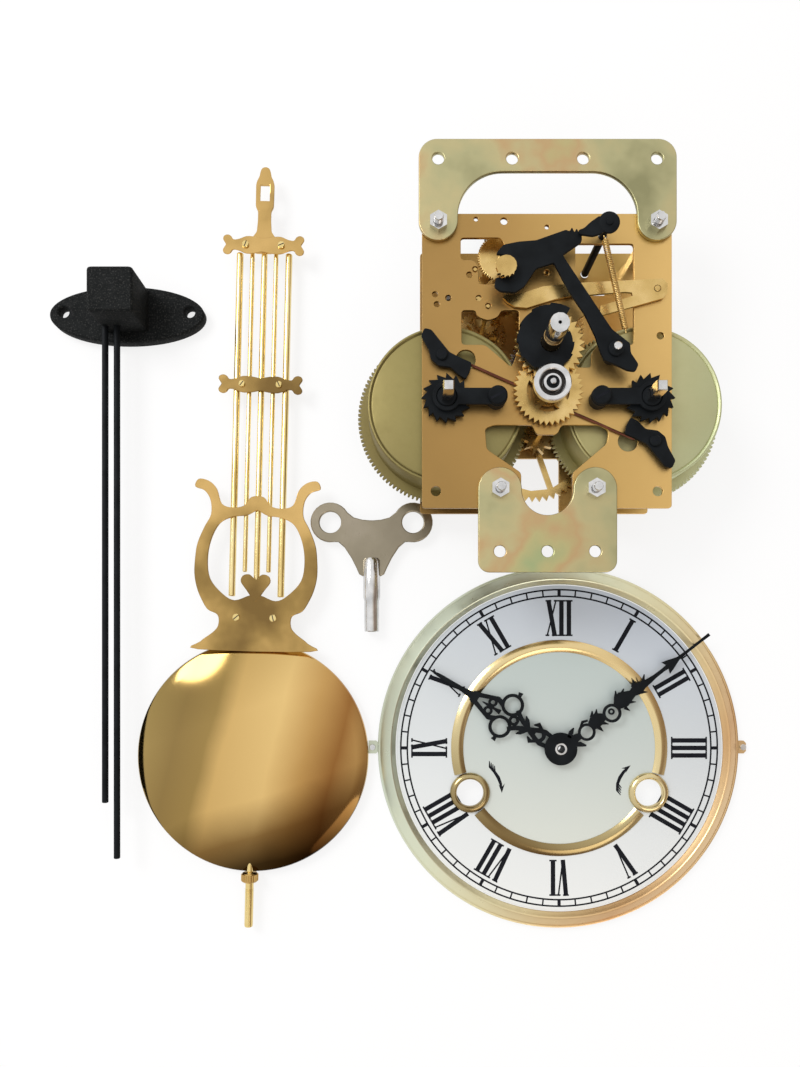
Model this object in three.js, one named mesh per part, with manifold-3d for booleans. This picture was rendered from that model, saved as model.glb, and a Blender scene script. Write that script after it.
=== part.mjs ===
// A striking wall-clock movement as a set, each item lying flat: the two-train movement on its back,
// the dial with its hands, the gridiron pendulum, the winding key and the rod gong.
// Millimetres, +Z up from the surface that the set lies on, +Y towards twelve o'clock.
import * as THREE from "three";
import { mergeVertices } from "three/addons/utils/BufferGeometryUtils.js";
import Module from "manifold-3d";

const wasm = await Module();
wasm.setup();

// Clearances and overruns that all pieces share
const overrun = 1;
const seatGap = 0.3;
const runningGap = 0.4;

// Corners of a geometry that are nearer than this are one corner
const weldDistance = 1e-4;

// Where each item of the set lies, from a point near the middle of the layout
const movementPlace = { x: 64.1, y: 130.5 };
const dialPlace = { x: 78.5, y: -43.4 };
const pendulumPlace = { x: -72.6, y: -47.4 };
const keyPlace = { x: -14, y: 51 };
const gongPlace = { x: -134.5, y: 171 };
const pendulumLean = -0.0246;

// Plates
const plateWidth = 109;
const plateHeight = 128.4;
const plateThickness = 1.6;
const plateCorner = 1.5;
const backPlateHeight = 14;
const plateSpacing = 30;
const frontHeight = backPlateHeight + plateThickness + plateSpacing + plateThickness;
const innerBack = backPlateHeight + plateThickness;
const innerFront = innerBack + plateSpacing;

// Pillars, their nuts and the two mounting brackets
const topPillarInset = { x: 7, y: 5.2 };
const bottomPillarInset = { x: 33.8, y: 8 };
const topPillar = { x: plateWidth / 2 - topPillarInset.x, y: plateHeight / 2 - topPillarInset.y };
const bottomPillar = { x: plateWidth / 2 - bottomPillarInset.x, y: bottomPillarInset.y - plateHeight / 2 };
const pillarRadius = 3.4;
const pillarFootRadius = 3;
const studRadius = 1.9;
const nutRadius = 4.2;
const nutHeight = 2.6;
const studReach = 5.6;
const bracketThickness = 2;
const bracketHoleRadius = 2.4;
const topLobe = { radius: 8.5, rise: 1.2, reach: 36.6 };
const topBracket = {
  halfWidth: topPillar.x + topLobe.radius,
  lobeY: topPillar.y + topLobe.rise,
  top: topPillar.y + topLobe.reach,
  corner: 8,
  band: 14.1,
  windowArc: 19.5,
  holeInset: 8.5,
  innerHole: 15.4,
};
const bottomLobe = { radius: 9.45, reach: 36.2 };
const bottomBracket = {
  halfWidth: bottomPillar.x + bottomLobe.radius,
  notch: bottomPillar.x - bottomLobe.radius,
  bottom: bottomPillar.y - bottomLobe.reach,
  notchDepth: 11.4,
  corner: 5,
  holeInset: 9.1,
};

// Arbors, seen from the front with the plate's middle at 0, 0
const handArbor = { x: 0, y: 4.7 };
const leftBarrelPlace = { x: -44, y: -17.3 };
const rightBarrelPlace = { x: 44, y: -17.3 };
const secondPlace = { x: 0, y: -27.5 };
const thirdPlace = { x: 4.14, y: 21.6 };
const escapePlace = { x: 0, y: 38.5 };
const vergePlace = { x: 0, y: 52 };
const motionPlace = { x: 0, y: -13.9 };
const pinWheelPlace = { x: -25.6, y: 23.95 };
const gatheringPlace = { x: -19.3, y: 35.5 };
const flyPlace = { x: -31.3, y: 39.97 };
const hammerPlace = { x: -43, y: 27.5 };
const hookPlace = { x: 24.3, y: 54.4 };
const rackPlace = { x: 27.5, y: 1.6 };
const liftPlace = { x: 47.7, y: 30.8 };

// Arbor stock
const arborRadius = 1.1;
const pivotRadius = 0.8;
const pivotHoleRadius = pivotRadius + runningGap;
const wheelThickness = 1.4;
const rimWidth = 2.6;
const hubRadius = 3.4;

// Tooth form: height above and depth below the pitch circle in modules
const addendumShare = 0.9;
const dedendumShare = 1.5;

// Saw tooth form: how far the root lies round from its tip, in tooth pitches
const sawLean = 0.12;

// Tooth counts
const greatTeeth = 60;
const pinionTeeth = 10;
const secondTeeth = 50;
const centreTeeth = 33;
const thirdPinionTeeth = 9;
const thirdTeeth = 48;
const escapePinionTeeth = 8;
const pinWheelTeeth = 36;
const strikePinionTeeth = 6;
const escapeTeeth = 30;
const cannonTeeth = 10;
const minuteTeeth = 36;
const minutePinionTeeth = 9;
const hourTeeth = 30;
const ratchetTeeth = 16;

// Barrels
const drumRadius = 34.5;
const greatThickness = 2.5;
const greatLift = 4.4;
const greatSpacing = 1.1;
const drumClearance = 3;
const leftGreatHeight = innerBack + greatLift;
const rightGreatHeight = leftGreatHeight + greatThickness + greatSpacing;
const drumTop = innerFront - drumClearance;
const barrelBore = 4.7;
const drumRim = 1.2;
const drumRecess = 0.8;
const drumSides = 28;

// Winding arbors, ratchet work
const windingRadius = 4.2;
const squareSide = 4.4;
const squareReach = 18.8;
const squareTop = frontHeight + squareReach;
const squareLength = 12.5;
const ratchetLift = 1.5;
const ratchetHeight = frontHeight + ratchetLift;
const ratchetThickness = 2;
const ratchetTip = 10.8;
const ratchetRoot = 8.6;
const bridgeClearance = 0.9;
const bridge = {
  screwReach: 21.8,
  width: 7,
  thickness: 1.5,
  height: ratchetHeight + ratchetThickness + bridgeClearance,
  screwHead: 4.3,
  headHeight: 1.8,
  boss: 6.2,
};
const click = { thickness: 1.8, pivotX: -2, pivotY: 18.6, tail: 13.4, boss: 4, bossRise: 0.8 };
const clickStudRadius = 1.6;
const clickWire = { radius: 0.6, lift: 0.1, footRadius: 1.2 };

// Strike work on the front plate
const liftClearance = 0.5;
const liftHeight = frontHeight + liftClearance;
const liftThickness = 1.2;
const liftStudRadius = 1.2;
const liftSpan = 70;
const motionLift = 1.9;
const hourLift = 2.6;
const snailLift = 2.4;
const motionHeight = frontHeight + motionLift;
const motionThickness = 1.4;
const hourHeight = motionHeight + hourLift;
const hourThickness = 1.4;
const snailHeight = hourHeight + snailLift;
const snailThickness = 1.6;
const snailLargest = 16.6;
const snailSmallest = 8.6;
const hourPipeRadius = 4.1;
const hourPipeLength = 10.3;
const hourPipeTop = hourHeight + hourPipeLength;
const handArborRadius = 3.2;
const handArborReach = 26.8;
const handArborTop = frontHeight + handArborReach;
const handCapRadius = 4;
const handCapHeight = 9;
const handShoulder = 2;
const collarClearance = 1.3;
const collar = {
  radius: 7.9,
  wall: 2.4,
  height: snailHeight + snailThickness + collarClearance,
  thickness: 3.2,
  stud: 1.4,
  hub: 3.6,
};
const rackHeight = snailHeight;
const rackThickness = 1.6;
const rackSpan = 50;
const hookClearance = 0.8;
const hookHeight = rackHeight + rackThickness + hookClearance;
const hookThickness = 1.4;
const discClearance = 1.7;
const gatheringDisc = { radius: 4.4, height: rackHeight + rackThickness + discClearance, thickness: 1.6 };
const discArc = { start: 0.9, end: 5.1 };
const rackSpring = {
  wire: 0.25,
  radius: 1.15,
  curls: 30,
  lift: 1.45,
  lead: 1.5,
  topX: 22.1,
  topY: 48.9,
  bottomX: 31.5,
  bottomY: 7.8,
};
const hook = { span: 13.5, head: 4.5, arbor: 1.7, rivet: 0.6 };

// Materials, one for each finish
function finish(color, roughness, metalness) {
  return new THREE.MeshStandardMaterial({ color, roughness, metalness });
}
const brass = finish(0xc9963f, 0.35, 1);
const polishedBrass = finish(0xe0b050, 0.15, 1);
const zinc = finish(0xb5ad7c, 0.4, 1);
const black = finish(0x14171b, 0.5, 0.4);
const steel = finish(0xc3c5c8, 0.25, 1);
const darkSteel = finish(0x5a5450, 0.4, 1);
const copperWire = finish(0x7a3c22, 0.45, 0.8);
const enamel = finish(0xe9ecec, 0.5, 0);
const castIron = finish(0x1b1c1e, 0.8, 0.3);

// Solids: a closed geometry to a manifold, and back
function solid(geometry) {
  const bare = geometry.clone();
  bare.deleteAttribute("normal");
  bare.deleteAttribute("uv");
  const merged = mergeVertices(bare, weldDistance);
  const triVerts = new Uint32Array(merged.index.array);
  const vertProperties = merged.attributes.position.array;
  const made = new wasm.Manifold(new wasm.Mesh({ numProp: 3, vertProperties, triVerts }));
  if (made.volume() > 0) return made;
  return new wasm.Manifold(new wasm.Mesh({ numProp: 3, vertProperties, triVerts: triVerts.reverse() }));
}

function join(...pieces) {
  return pieces.reduce((whole, piece) => whole.add(piece));
}

function cut(whole, ...pieces) {
  return pieces.reduce((rest, piece) => rest.subtract(piece), whole);
}

function geometryOf(made) {
  const mesh = made.getMesh();
  const geometry = new THREE.BufferGeometry();
  geometry.setAttribute("position", new THREE.BufferAttribute(mesh.vertProperties, mesh.numProp));
  geometry.setIndex(new THREE.BufferAttribute(mesh.triVerts, 1));
  geometry.computeVertexNormals();
  return geometry;
}

function mesh(name, made, material, place = { x: 0, y: 0 }, turn = 0) {
  const piece = new THREE.Mesh(geometryOf(made), material);
  piece.name = name;
  piece.position.set(place.x, place.y, 0);
  piece.rotation.z = turn;
  return piece;
}

// A flat outline raised from one height to another
function prism(shape, bottom, top, curveSegments = 6) {
  const geometry = new THREE.ExtrudeGeometry(shape, { depth: top - bottom, bevelEnabled: false, curveSegments });
  geometry.translate(0, 0, bottom);
  return solid(geometry);
}

// A profile of [radius, height] pairs turned about Z
function turned(profile, sides = 12) {
  const points = profile.map(([radius, height]) => new THREE.Vector2(radius, height));
  const geometry = new THREE.LatheGeometry(points, sides);
  geometry.rotateX(Math.PI / 2);
  return solid(geometry);
}

function drum(radius, bottom, top, sides = 12) {
  return turned([[0, bottom], [radius, bottom], [radius, top], [0, top]], sides);
}

function drumAt(place, radius, bottom, top, sides = 12) {
  return drum(radius, bottom, top, sides).translate([place.x, place.y, 0]);
}

function box(width, depth, bottom, top) {
  const geometry = new THREE.BoxGeometry(width, depth, top - bottom);
  geometry.translate(0, 0, (bottom + top) / 2);
  return solid(geometry);
}

// A straight bar with round ends between two places
function bar(from, to, width, bottom, top) {
  const reach = Math.hypot(to.x - from.x, to.y - from.y);
  const half = width / 2;
  const shape = new THREE.Shape();
  shape.absarc(0, 0, half, Math.PI / 2, (3 * Math.PI) / 2, false);
  shape.absarc(reach, 0, half, -Math.PI / 2, Math.PI / 2, false);
  shape.closePath();
  const turn = THREE.MathUtils.radToDeg(Math.atan2(to.y - from.y, to.x - from.x));
  return prism(shape, bottom, top, 3).rotate([0, 0, turn]).translate([from.x, from.y, 0]);
}

// An outline of pairs that are shares of one span
function outline(shares, span) {
  return new THREE.Shape(shares.map(([x, y]) => new THREE.Vector2(x * span, y * span)));
}

function roundedRectangle(left, bottom, right, top, corner) {
  const shape = new THREE.Shape();
  shape.absarc(right - corner, top - corner, corner, 0, Math.PI / 2, false);
  shape.absarc(left + corner, top - corner, corner, Math.PI / 2, Math.PI, false);
  shape.absarc(left + corner, bottom + corner, corner, Math.PI, 1.5 * Math.PI, false);
  shape.absarc(right - corner, bottom + corner, corner, 1.5 * Math.PI, 2 * Math.PI, false);
  shape.closePath();
  return shape;
}

// A round wire along points, with square ends
function wire(points, radius, steps, sides = 6) {
  const section = new THREE.Shape();
  for (let i = 0; i < sides; i += 1) {
    const angle = (i / sides) * 2 * Math.PI;
    const x = radius * Math.cos(angle);
    const y = radius * Math.sin(angle);
    if (i === 0) section.moveTo(x, y);
    else section.lineTo(x, y);
  }
  section.closePath();
  const extrudePath = new THREE.CatmullRomCurve3(points);
  return solid(new THREE.ExtrudeGeometry(section, { steps, extrudePath, bevelEnabled: false }));
}

// Toothed wheels
function between(from, to) {
  return Math.hypot(to.x - from.x, to.y - from.y);
}

function pitchRadius(distance, ownTeeth, otherTeeth) {
  return (distance * ownTeeth) / (ownTeeth + otherTeeth);
}

function gearShape(teeth, radius) {
  const gearModule = (2 * radius) / teeth;
  const tip = radius + addendumShare * gearModule;
  const root = radius - dedendumShare * gearModule;
  const step = (2 * Math.PI) / teeth;
  const points = [];
  for (let i = 0; i < teeth; i += 1) {
    const middle = i * step;
    points.push([root, middle - step / 2], [tip, middle]);
  }
  return new THREE.Shape(points.map(([r, a]) => new THREE.Vector2(r * Math.cos(a), r * Math.sin(a))));
}

// Saw teeth that lean one way: lean 1 or -1
function sawShape(teeth, tip, root, lean) {
  const step = (2 * Math.PI) / teeth;
  const points = [];
  for (let i = 0; i < teeth; i += 1) {
    points.push([tip, i * step], [root, (i + lean * sawLean) * step]);
  }
  points.sort((a, b) => a[1] - b[1]);
  return new THREE.Shape(points.map(([r, a]) => new THREE.Vector2(r * Math.cos(a), r * Math.sin(a))));
}

// The openings between the spokes of a crossed-out wheel
function addCrossings(shape, spokes, inner, outer, spokeWidth) {
  for (let i = 0; i < spokes; i += 1) {
    const start = (i / spokes) * 2 * Math.PI;
    const end = ((i + 1) / spokes) * 2 * Math.PI;
    const hole = new THREE.Path();
    hole.absarc(0, 0, outer, start + spokeWidth / 2 / outer, end - spokeWidth / 2 / outer, false);
    hole.absarc(0, 0, inner, end - spokeWidth / 2 / inner, start + spokeWidth / 2 / inner, true);
    hole.closePath();
    shape.holes.push(hole);
  }
}

function crossedWheel(teeth, radius, bottom, spokes) {
  const shape = gearShape(teeth, radius);
  const gearModule = (2 * radius) / teeth;
  const rimInside = radius - dedendumShare * gearModule - rimWidth;
  if (spokes > 0) addCrossings(shape, spokes, hubRadius, rimInside, rimWidth);
  return prism(shape, bottom, bottom + wheelThickness, 2);
}

function pinion(teeth, radius, bottom, top) {
  return prism(gearShape(teeth, radius), bottom, top);
}

// A plain arbor between the plates with a pivot in each
function arbor(back = backPlateHeight, front = frontHeight) {
  return turned([
    [0, back], [pivotRadius, back], [pivotRadius, innerBack + runningGap], [arborRadius, innerBack + runningGap],
    [arborRadius, innerFront - runningGap], [pivotRadius, innerFront - runningGap], [pivotRadius, front], [0, front],
  ], 6);
}

// How far the driven wheel is turned so that its gap meets the driver's tooth
function meshTurn(driverPlace, drivenPlace, driverTeeth, drivenTeeth, driverTurn) {
  const line = Math.atan2(drivenPlace.y - driverPlace.y, drivenPlace.x - driverPlace.x);
  return line + Math.PI - ((driverTurn - line) * driverTeeth) / drivenTeeth + Math.PI / drivenTeeth;
}

// Pitch radii
const greatPitch = pitchRadius(between(rightBarrelPlace, secondPlace), greatTeeth, pinionTeeth);
const secondPinionPitch = pitchRadius(between(rightBarrelPlace, secondPlace), pinionTeeth, greatTeeth);
const secondPitch = pitchRadius(between(secondPlace, handArbor), secondTeeth, pinionTeeth);
const centrePinionPitch = pitchRadius(between(secondPlace, handArbor), pinionTeeth, secondTeeth);
const centrePitch = pitchRadius(between(handArbor, thirdPlace), centreTeeth, thirdPinionTeeth);
const thirdPinionPitch = pitchRadius(between(handArbor, thirdPlace), thirdPinionTeeth, centreTeeth);
const thirdPitch = pitchRadius(between(thirdPlace, escapePlace), thirdTeeth, escapePinionTeeth);
const escapePinionPitch = pitchRadius(between(thirdPlace, escapePlace), escapePinionTeeth, thirdTeeth);
const leftGreatPitch = pitchRadius(between(leftBarrelPlace, pinWheelPlace), greatTeeth, pinionTeeth);
const pinPinionPitch = pitchRadius(between(leftBarrelPlace, pinWheelPlace), pinionTeeth, greatTeeth);
const pinPitch = pitchRadius(between(pinWheelPlace, gatheringPlace), pinWheelTeeth, strikePinionTeeth);
const gatheringPinionPitch = pitchRadius(between(pinWheelPlace, gatheringPlace), strikePinionTeeth, pinWheelTeeth);
const gatheringPitch = pitchRadius(between(gatheringPlace, flyPlace), pinWheelTeeth, strikePinionTeeth);
const flyPinionPitch = pitchRadius(between(gatheringPlace, flyPlace), strikePinionTeeth, pinWheelTeeth);
const cannonPitch = pitchRadius(between(handArbor, motionPlace), cannonTeeth, minuteTeeth);
const minutePitch = pitchRadius(between(handArbor, motionPlace), minuteTeeth, cannonTeeth);
const minutePinionPitch = pitchRadius(between(handArbor, motionPlace), minutePinionTeeth, hourTeeth);
const hourPitch = pitchRadius(between(handArbor, motionPlace), hourTeeth, minutePinionTeeth);

// Turns that bring every pair into mesh at rest, from each train's barrel and from the hand arbor
const secondTurn = meshTurn(rightBarrelPlace, secondPlace, greatTeeth, pinionTeeth, 0);
const centreTurn = meshTurn(secondPlace, handArbor, secondTeeth, pinionTeeth, secondTurn);
const thirdTurn = meshTurn(handArbor, thirdPlace, centreTeeth, thirdPinionTeeth, centreTurn);
const escapeTurn = meshTurn(thirdPlace, escapePlace, thirdTeeth, escapePinionTeeth, thirdTurn);
const minuteTurn = meshTurn(handArbor, motionPlace, cannonTeeth, minuteTeeth, centreTurn);
const hourTurn = meshTurn(motionPlace, handArbor, minutePinionTeeth, hourTeeth, minuteTurn);
const pinTurn = meshTurn(leftBarrelPlace, pinWheelPlace, greatTeeth, pinionTeeth, 0);
const gatheringTurn = meshTurn(pinWheelPlace, gatheringPlace, pinWheelTeeth, strikePinionTeeth, pinTurn);
const flyTurn = meshTurn(gatheringPlace, flyPlace, pinWheelTeeth, strikePinionTeeth, gatheringTurn);

const movement = new THREE.Group();
movement.position.set(movementPlace.x, movementPlace.y, 0);

// Plates: the outline, the windows that show the trains, and a hole for each arbor
const bottomSlot = { halfWidth: 11.2, depth: 14.2 };
const backSlot = { halfWidth: 12, depth: 30.2 };
const sideHole = { radius: 4.4, x: 8.6, y: 17.8 };
const rackSlot = { x: 27, y: 46, width: 14, height: 4 };

function plateOutline(slot) {
  const half = plateWidth / 2;
  const top = plateHeight / 2;
  const shape = new THREE.Shape();
  shape.absarc(half - plateCorner, top - plateCorner, plateCorner, 0, Math.PI / 2, false);
  shape.absarc(plateCorner - half, top - plateCorner, plateCorner, Math.PI / 2, Math.PI, false);
  shape.absarc(plateCorner - half, plateCorner - top, plateCorner, Math.PI, 1.5 * Math.PI, false);
  shape.lineTo(-slot.halfWidth, -top);
  shape.lineTo(-slot.halfWidth, slot.depth - top);
  shape.lineTo(slot.halfWidth, slot.depth - top);
  shape.lineTo(slot.halfWidth, -top);
  shape.absarc(half - plateCorner, plateCorner - top, plateCorner, 1.5 * Math.PI, 2 * Math.PI, false);
  shape.closePath();
  return shape;
}

// Window outlines round the trains, in shares of one span
const windowSpan = 64.2;
const upperLeftShares = [
  [-0.575, 0.855], [-0.4, 0.855], [-0.4, 0.54], [-0.46, 0.54], [-0.46, 0.68], [-0.5, 0.72], [-0.575, 0.72],
];
const upperRightShares = [[0.19, 0.795], [0.587, 0.795], [0.587, 0.37], [0.33, 0.37], [0.19, 0.56]];
const middleLeftShares = [
  [-0.58, 0.345], [-0.485, 0.345], [-0.47, 0.3], [-0.4, 0.275], [-0.33, 0.3], [-0.31, 0.345], [-0.19, 0.345],
  [-0.19, 0.08], [-0.24, -0.045], [-0.42, 0.11], [-0.58, 0.11],
];
const middleRightShares = [[0.19, 0.29], [0.3, 0.2], [0.3, -0.045], [0.2, -0.045]];
const lowerShares = [
  [-0.42, -0.46], [-0.36, -0.435], [-0.1, -0.435], [-0.07, -0.5], [0.07, -0.5], [0.1, -0.435], [0.36, -0.435],
  [0.42, -0.47], [0.41, -0.56], [0.18, -0.76], [-0.18, -0.76], [-0.41, -0.6],
];

function frontPlate() {
  const bottom = innerFront;
  const top = frontHeight;
  const windows = [upperLeftShares, upperRightShares, middleLeftShares, middleRightShares, lowerShares]
    .map((shares) => prism(outline(shares, windowSpan), bottom - overrun, top + overrun));
  const pivots = [secondPlace, thirdPlace, escapePlace, vergePlace, pinWheelPlace, flyPlace, hammerPlace]
    .map((place) => drumAt(place, pivotHoleRadius, bottom - overrun, top + overrun, 7));
  const passages = [
    [handArbor, handArborRadius + runningGap],
    [leftBarrelPlace, windingRadius + runningGap],
    [rightBarrelPlace, windingRadius + runningGap],
    [gatheringPlace, arborRadius + runningGap],
    [hookPlace, arborRadius + runningGap],
    [{ x: leftBarrelPlace.x + sideHole.x, y: leftBarrelPlace.y + sideHole.y }, sideHole.radius],
    [{ x: rightBarrelPlace.x - sideHole.x, y: rightBarrelPlace.y - sideHole.y }, sideHole.radius],
  ].map(([place, radius]) => drumAt(place, radius, bottom - overrun, top + overrun, 10));
  return cut(prism(plateOutline(bottomSlot), bottom, top, 1), ...windows, ...pivots, ...passages);
}

function backPlate() {
  const bottom = backPlateHeight;
  const top = innerBack;
  const small = [
    secondPlace, thirdPlace, escapePlace, pinWheelPlace, gatheringPlace, flyPlace, hookPlace, handArbor,
  ].map((place) => drumAt(place, pivotHoleRadius, bottom - overrun, top + overrun, 6));
  const through = [
    [vergePlace, arborRadius + runningGap],
    [hammerPlace, arborRadius + runningGap],
    [leftBarrelPlace, windingRadius + runningGap],
    [rightBarrelPlace, windingRadius + runningGap],
  ].map(([place, radius]) => drumAt(place, radius, bottom - overrun, top + overrun, 8));
  const slot = box(rackSlot.width, rackSlot.height, bottom - overrun, top + overrun).translate([rackSlot.x, rackSlot.y, 0]);
  return cut(prism(plateOutline(backSlot), bottom, top, 1), ...small, ...through, slot);
}

const pillarPlaces = [
  ["pillar_top_left", { x: -topPillar.x, y: topPillar.y }],
  ["pillar_top_right", topPillar],
  ["pillar_bottom_left", { x: -bottomPillar.x, y: bottomPillar.y }],
  ["pillar_bottom_right", bottomPillar],
];

function cutForPillars(plate, bottom, top) {
  const holes = pillarPlaces.map(([, place]) => drumAt(place, studRadius, bottom - overrun, top + overrun, 7));
  return cut(plate, ...holes);
}

const clickStuds = [
  { x: leftBarrelPlace.x + click.pivotX, y: leftBarrelPlace.y + click.pivotY },
  { x: rightBarrelPlace.x - click.pivotX, y: rightBarrelPlace.y - click.pivotY },
].map((place) => drumAt(place, clickStudRadius, innerFront, ratchetHeight + click.thickness - seatGap, 8));
const liftStud = drumAt(liftPlace, liftStudRadius, innerFront, liftHeight + liftThickness, 8);
const studdedPlate = join(cutForPillars(frontPlate(), innerFront, frontHeight), ...clickStuds, liftStud);
movement.add(mesh("front_plate", studdedPlate, brass));
movement.add(mesh("back_plate", cutForPillars(backPlate(), backPlateHeight, innerBack), brass));

// Pillars: shoulders between the plates, feet behind, and a stud with its nut in front
const footHeight = 6;
const bracketTop = frontHeight + bracketThickness;

function pillar() {
  const nutBottom = bracketTop;
  const column = turned([
    [0, footHeight], [pillarFootRadius, footHeight], [pillarFootRadius, backPlateHeight],
    [studRadius, backPlateHeight], [studRadius, innerBack], [pillarRadius, innerBack],
    [pillarRadius, innerFront], [studRadius, innerFront], [studRadius, bracketTop + studReach],
    [0, bracketTop + studReach],
  ], 7);
  return join(column, drum(nutRadius, nutBottom, nutBottom + nutHeight, 6));
}
for (const [name, place] of pillarPlaces) movement.add(mesh(name, pillar(), steel, place));

// Mounting brackets, held under the pillar nuts
function topBracketShape() {
  const b = topBracket;
  const lobe = topLobe.radius;
  const inner = b.halfWidth - 2 * lobe;
  const windowTop = b.top - b.band;
  const shape = new THREE.Shape();
  shape.absarc(b.halfWidth - b.corner, b.top - b.corner, b.corner, 0, Math.PI / 2, false);
  shape.absarc(b.corner - b.halfWidth, b.top - b.corner, b.corner, Math.PI / 2, Math.PI, false);
  shape.absarc(lobe - b.halfWidth, b.lobeY, lobe, Math.PI, 2 * Math.PI, false);
  shape.absarc(b.windowArc - inner, windowTop - b.windowArc, b.windowArc, Math.PI, Math.PI / 2, true);
  shape.absarc(inner - b.windowArc, windowTop - b.windowArc, b.windowArc, Math.PI / 2, 0, true);
  shape.absarc(b.halfWidth - lobe, b.lobeY, lobe, -Math.PI, 0, false);
  shape.closePath();
  return shape;
}

function bottomBracketShape() {
  const b = bottomBracket;
  const lobe = bottomLobe.radius;
  const notchY = bottomPillar.y - b.notchDepth + b.notch;
  const shape = new THREE.Shape();
  shape.absarc(bottomPillar.x, bottomPillar.y, lobe, 0, Math.PI, false);
  shape.absarc(0, notchY, b.notch, 0, -Math.PI, true);
  shape.absarc(-bottomPillar.x, bottomPillar.y, lobe, 0, Math.PI, false);
  shape.absarc(b.corner - b.halfWidth, b.bottom + b.corner, b.corner, Math.PI, 1.5 * Math.PI, false);
  shape.absarc(b.halfWidth - b.corner, b.bottom + b.corner, b.corner, 1.5 * Math.PI, 2 * Math.PI, false);
  shape.closePath();
  return shape;
}

function bracket(shape, holePlaces) {
  const plate = prism(shape, frontHeight, bracketTop, 4);
  const holes = holePlaces
    .map((place) => drumAt(place, bracketHoleRadius, frontHeight - overrun, bracketTop + overrun, 10));
  return cutForPillars(cut(plate, ...holes), frontHeight, bracketTop);
}

const topHoles = [-topPillar.x, -topBracket.innerHole, topBracket.innerHole, topPillar.x]
  .map((x) => ({ x, y: topBracket.top - topBracket.holeInset }));
const bottomHoles = [-bottomPillar.x, 0, bottomPillar.x]
  .map((x) => ({ x, y: bottomBracket.bottom + bottomBracket.holeInset }));
movement.add(mesh("top_bracket", bracket(topBracketShape(), topHoles), zinc));
movement.add(mesh("bottom_bracket", bracket(bottomBracketShape(), bottomHoles), zinc));

// Barrels: a toothed great wheel at the back with the spring drum on it
function barrel(pitch, greatHeight) {
  const drumBottom = greatHeight + greatThickness;
  const wheel = prism(gearShape(greatTeeth, pitch), greatHeight, drumBottom);
  const shell = drum(drumRadius, drumBottom, drumTop, drumSides);
  const recess = drum(drumRadius - drumRim, drumTop - drumRecess, drumTop + overrun, drumSides);
  const bore = drum(barrelBore, greatHeight - overrun, drumTop + overrun, 14);
  return cut(join(wheel, shell), recess, bore);
}
movement.add(mesh("strike_barrel", barrel(leftGreatPitch, leftGreatHeight), zinc, leftBarrelPlace));
movement.add(mesh("time_barrel", barrel(greatPitch, rightGreatHeight), zinc, rightBarrelPlace));

// Winding arbors with their ratchets; the square takes the key
function windingArbor(lean) {
  const shaft = drum(windingRadius, backPlateHeight, squareTop - squareLength, 10);
  const square = box(squareSide, squareSide, squareTop - squareLength - overrun, squareTop);
  const saw = prism(sawShape(ratchetTeeth, ratchetTip, ratchetRoot, lean), ratchetHeight, ratchetHeight + ratchetThickness);
  return join(shaft, square, saw);
}
movement.add(mesh("strike_winding_arbor", windingArbor(1), steel, leftBarrelPlace));
movement.add(mesh("time_winding_arbor", windingArbor(-1), steel, rightBarrelPlace));

// Bridges over the ratchets, each with its foot on the plate and its screw; side is 1 on the left, -1 on the right
function bridgePiece(side) {
  const b = bridge;
  const foot = { x: side * b.screwReach, y: 0 };
  const top = b.height + b.thickness;
  const strap = bar({ x: 0, y: 0 }, foot, b.width, b.height, top);
  const boss = drum(b.boss, b.height, top, 14);
  const post = drumAt(foot, b.screwHead, frontHeight, top + b.headHeight, 12);
  const hole = drum(windingRadius + runningGap, b.height - overrun, top + overrun, 12);
  return cut(join(strap, boss, post), hole);
}
movement.add(mesh("strike_bridge", bridgePiece(1), black, leftBarrelPlace));
movement.add(mesh("time_bridge", bridgePiece(-1), black, rightBarrelPlace));

// Clicks: a tail, a pivot boss over its stud and a nose that stands just clear of the ratchet's teeth
const clickShares = [
  [-0.67, 0.63], [-0.56, 0.87], [-0.34, 0.82], [0.24, 0.1], [0.43, 0], [0.72, -0.14], [0.96, -0.24], [0.92, -0.49],
  [0.77, -0.77], [0.53, -0.63], [0.29, -0.39], [-0.1, -0.34], [-0.34, -0.14], [-0.43, 0.19],
];

function clickPiece() {
  const bottom = ratchetHeight;
  const top = bottom + click.thickness;
  const body = prism(outline(clickShares, click.tail), bottom, top);
  const boss = drum(click.boss, bottom, top + click.bossRise, 14);
  return cut(join(body, boss), drum(clickStudRadius + runningGap, bottom - overrun, top, 10));
}

// The wire spring behind a click, from the click's shoulder to its foot on the plate
const clickWireShares = [[0.6, -0.11], [1.2, -0.36], [1.8, -0.63], [2.37, -0.88], [2.69, -1.01]];

function clickSpring() {
  const level = frontHeight + clickWire.radius + clickWire.lift;
  const points = clickWireShares.map(([x, y]) => new THREE.Vector3(x * click.tail, y * click.tail, level));
  const [last] = points.slice(-1);
  const foot = drumAt(last, clickWire.footRadius, frontHeight, level, 8);
  return join(wire(points, clickWire.radius, 6), foot);
}

const clickPlaces = [
  ["strike", { x: leftBarrelPlace.x + click.pivotX, y: leftBarrelPlace.y + click.pivotY }, 0],
  ["time", { x: rightBarrelPlace.x - click.pivotX, y: rightBarrelPlace.y - click.pivotY }, Math.PI],
];
for (const [train, place, turn] of clickPlaces) {
  movement.add(mesh(`${train}_click`, clickPiece(), black, place, turn));
  movement.add(mesh(`${train}_click_spring`, clickSpring(), copperWire, place, turn));
}

// Time train
const trainLift = { second: 1, centre: 12.4, third: 15.4, escape: 4.4, gathering: 18.4 };
const secondWheelHeight = innerBack + trainLift.second;
const centreWheelHeight = innerBack + trainLift.centre;
const thirdWheelHeight = innerBack + trainLift.third;
const escapeHeight = innerBack + trainLift.escape;
const escapeThickness = 1.2;
const escapeTip = 9.5;
const escapeRoot = 7.6;
const pinionReach = 0.4;

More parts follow.
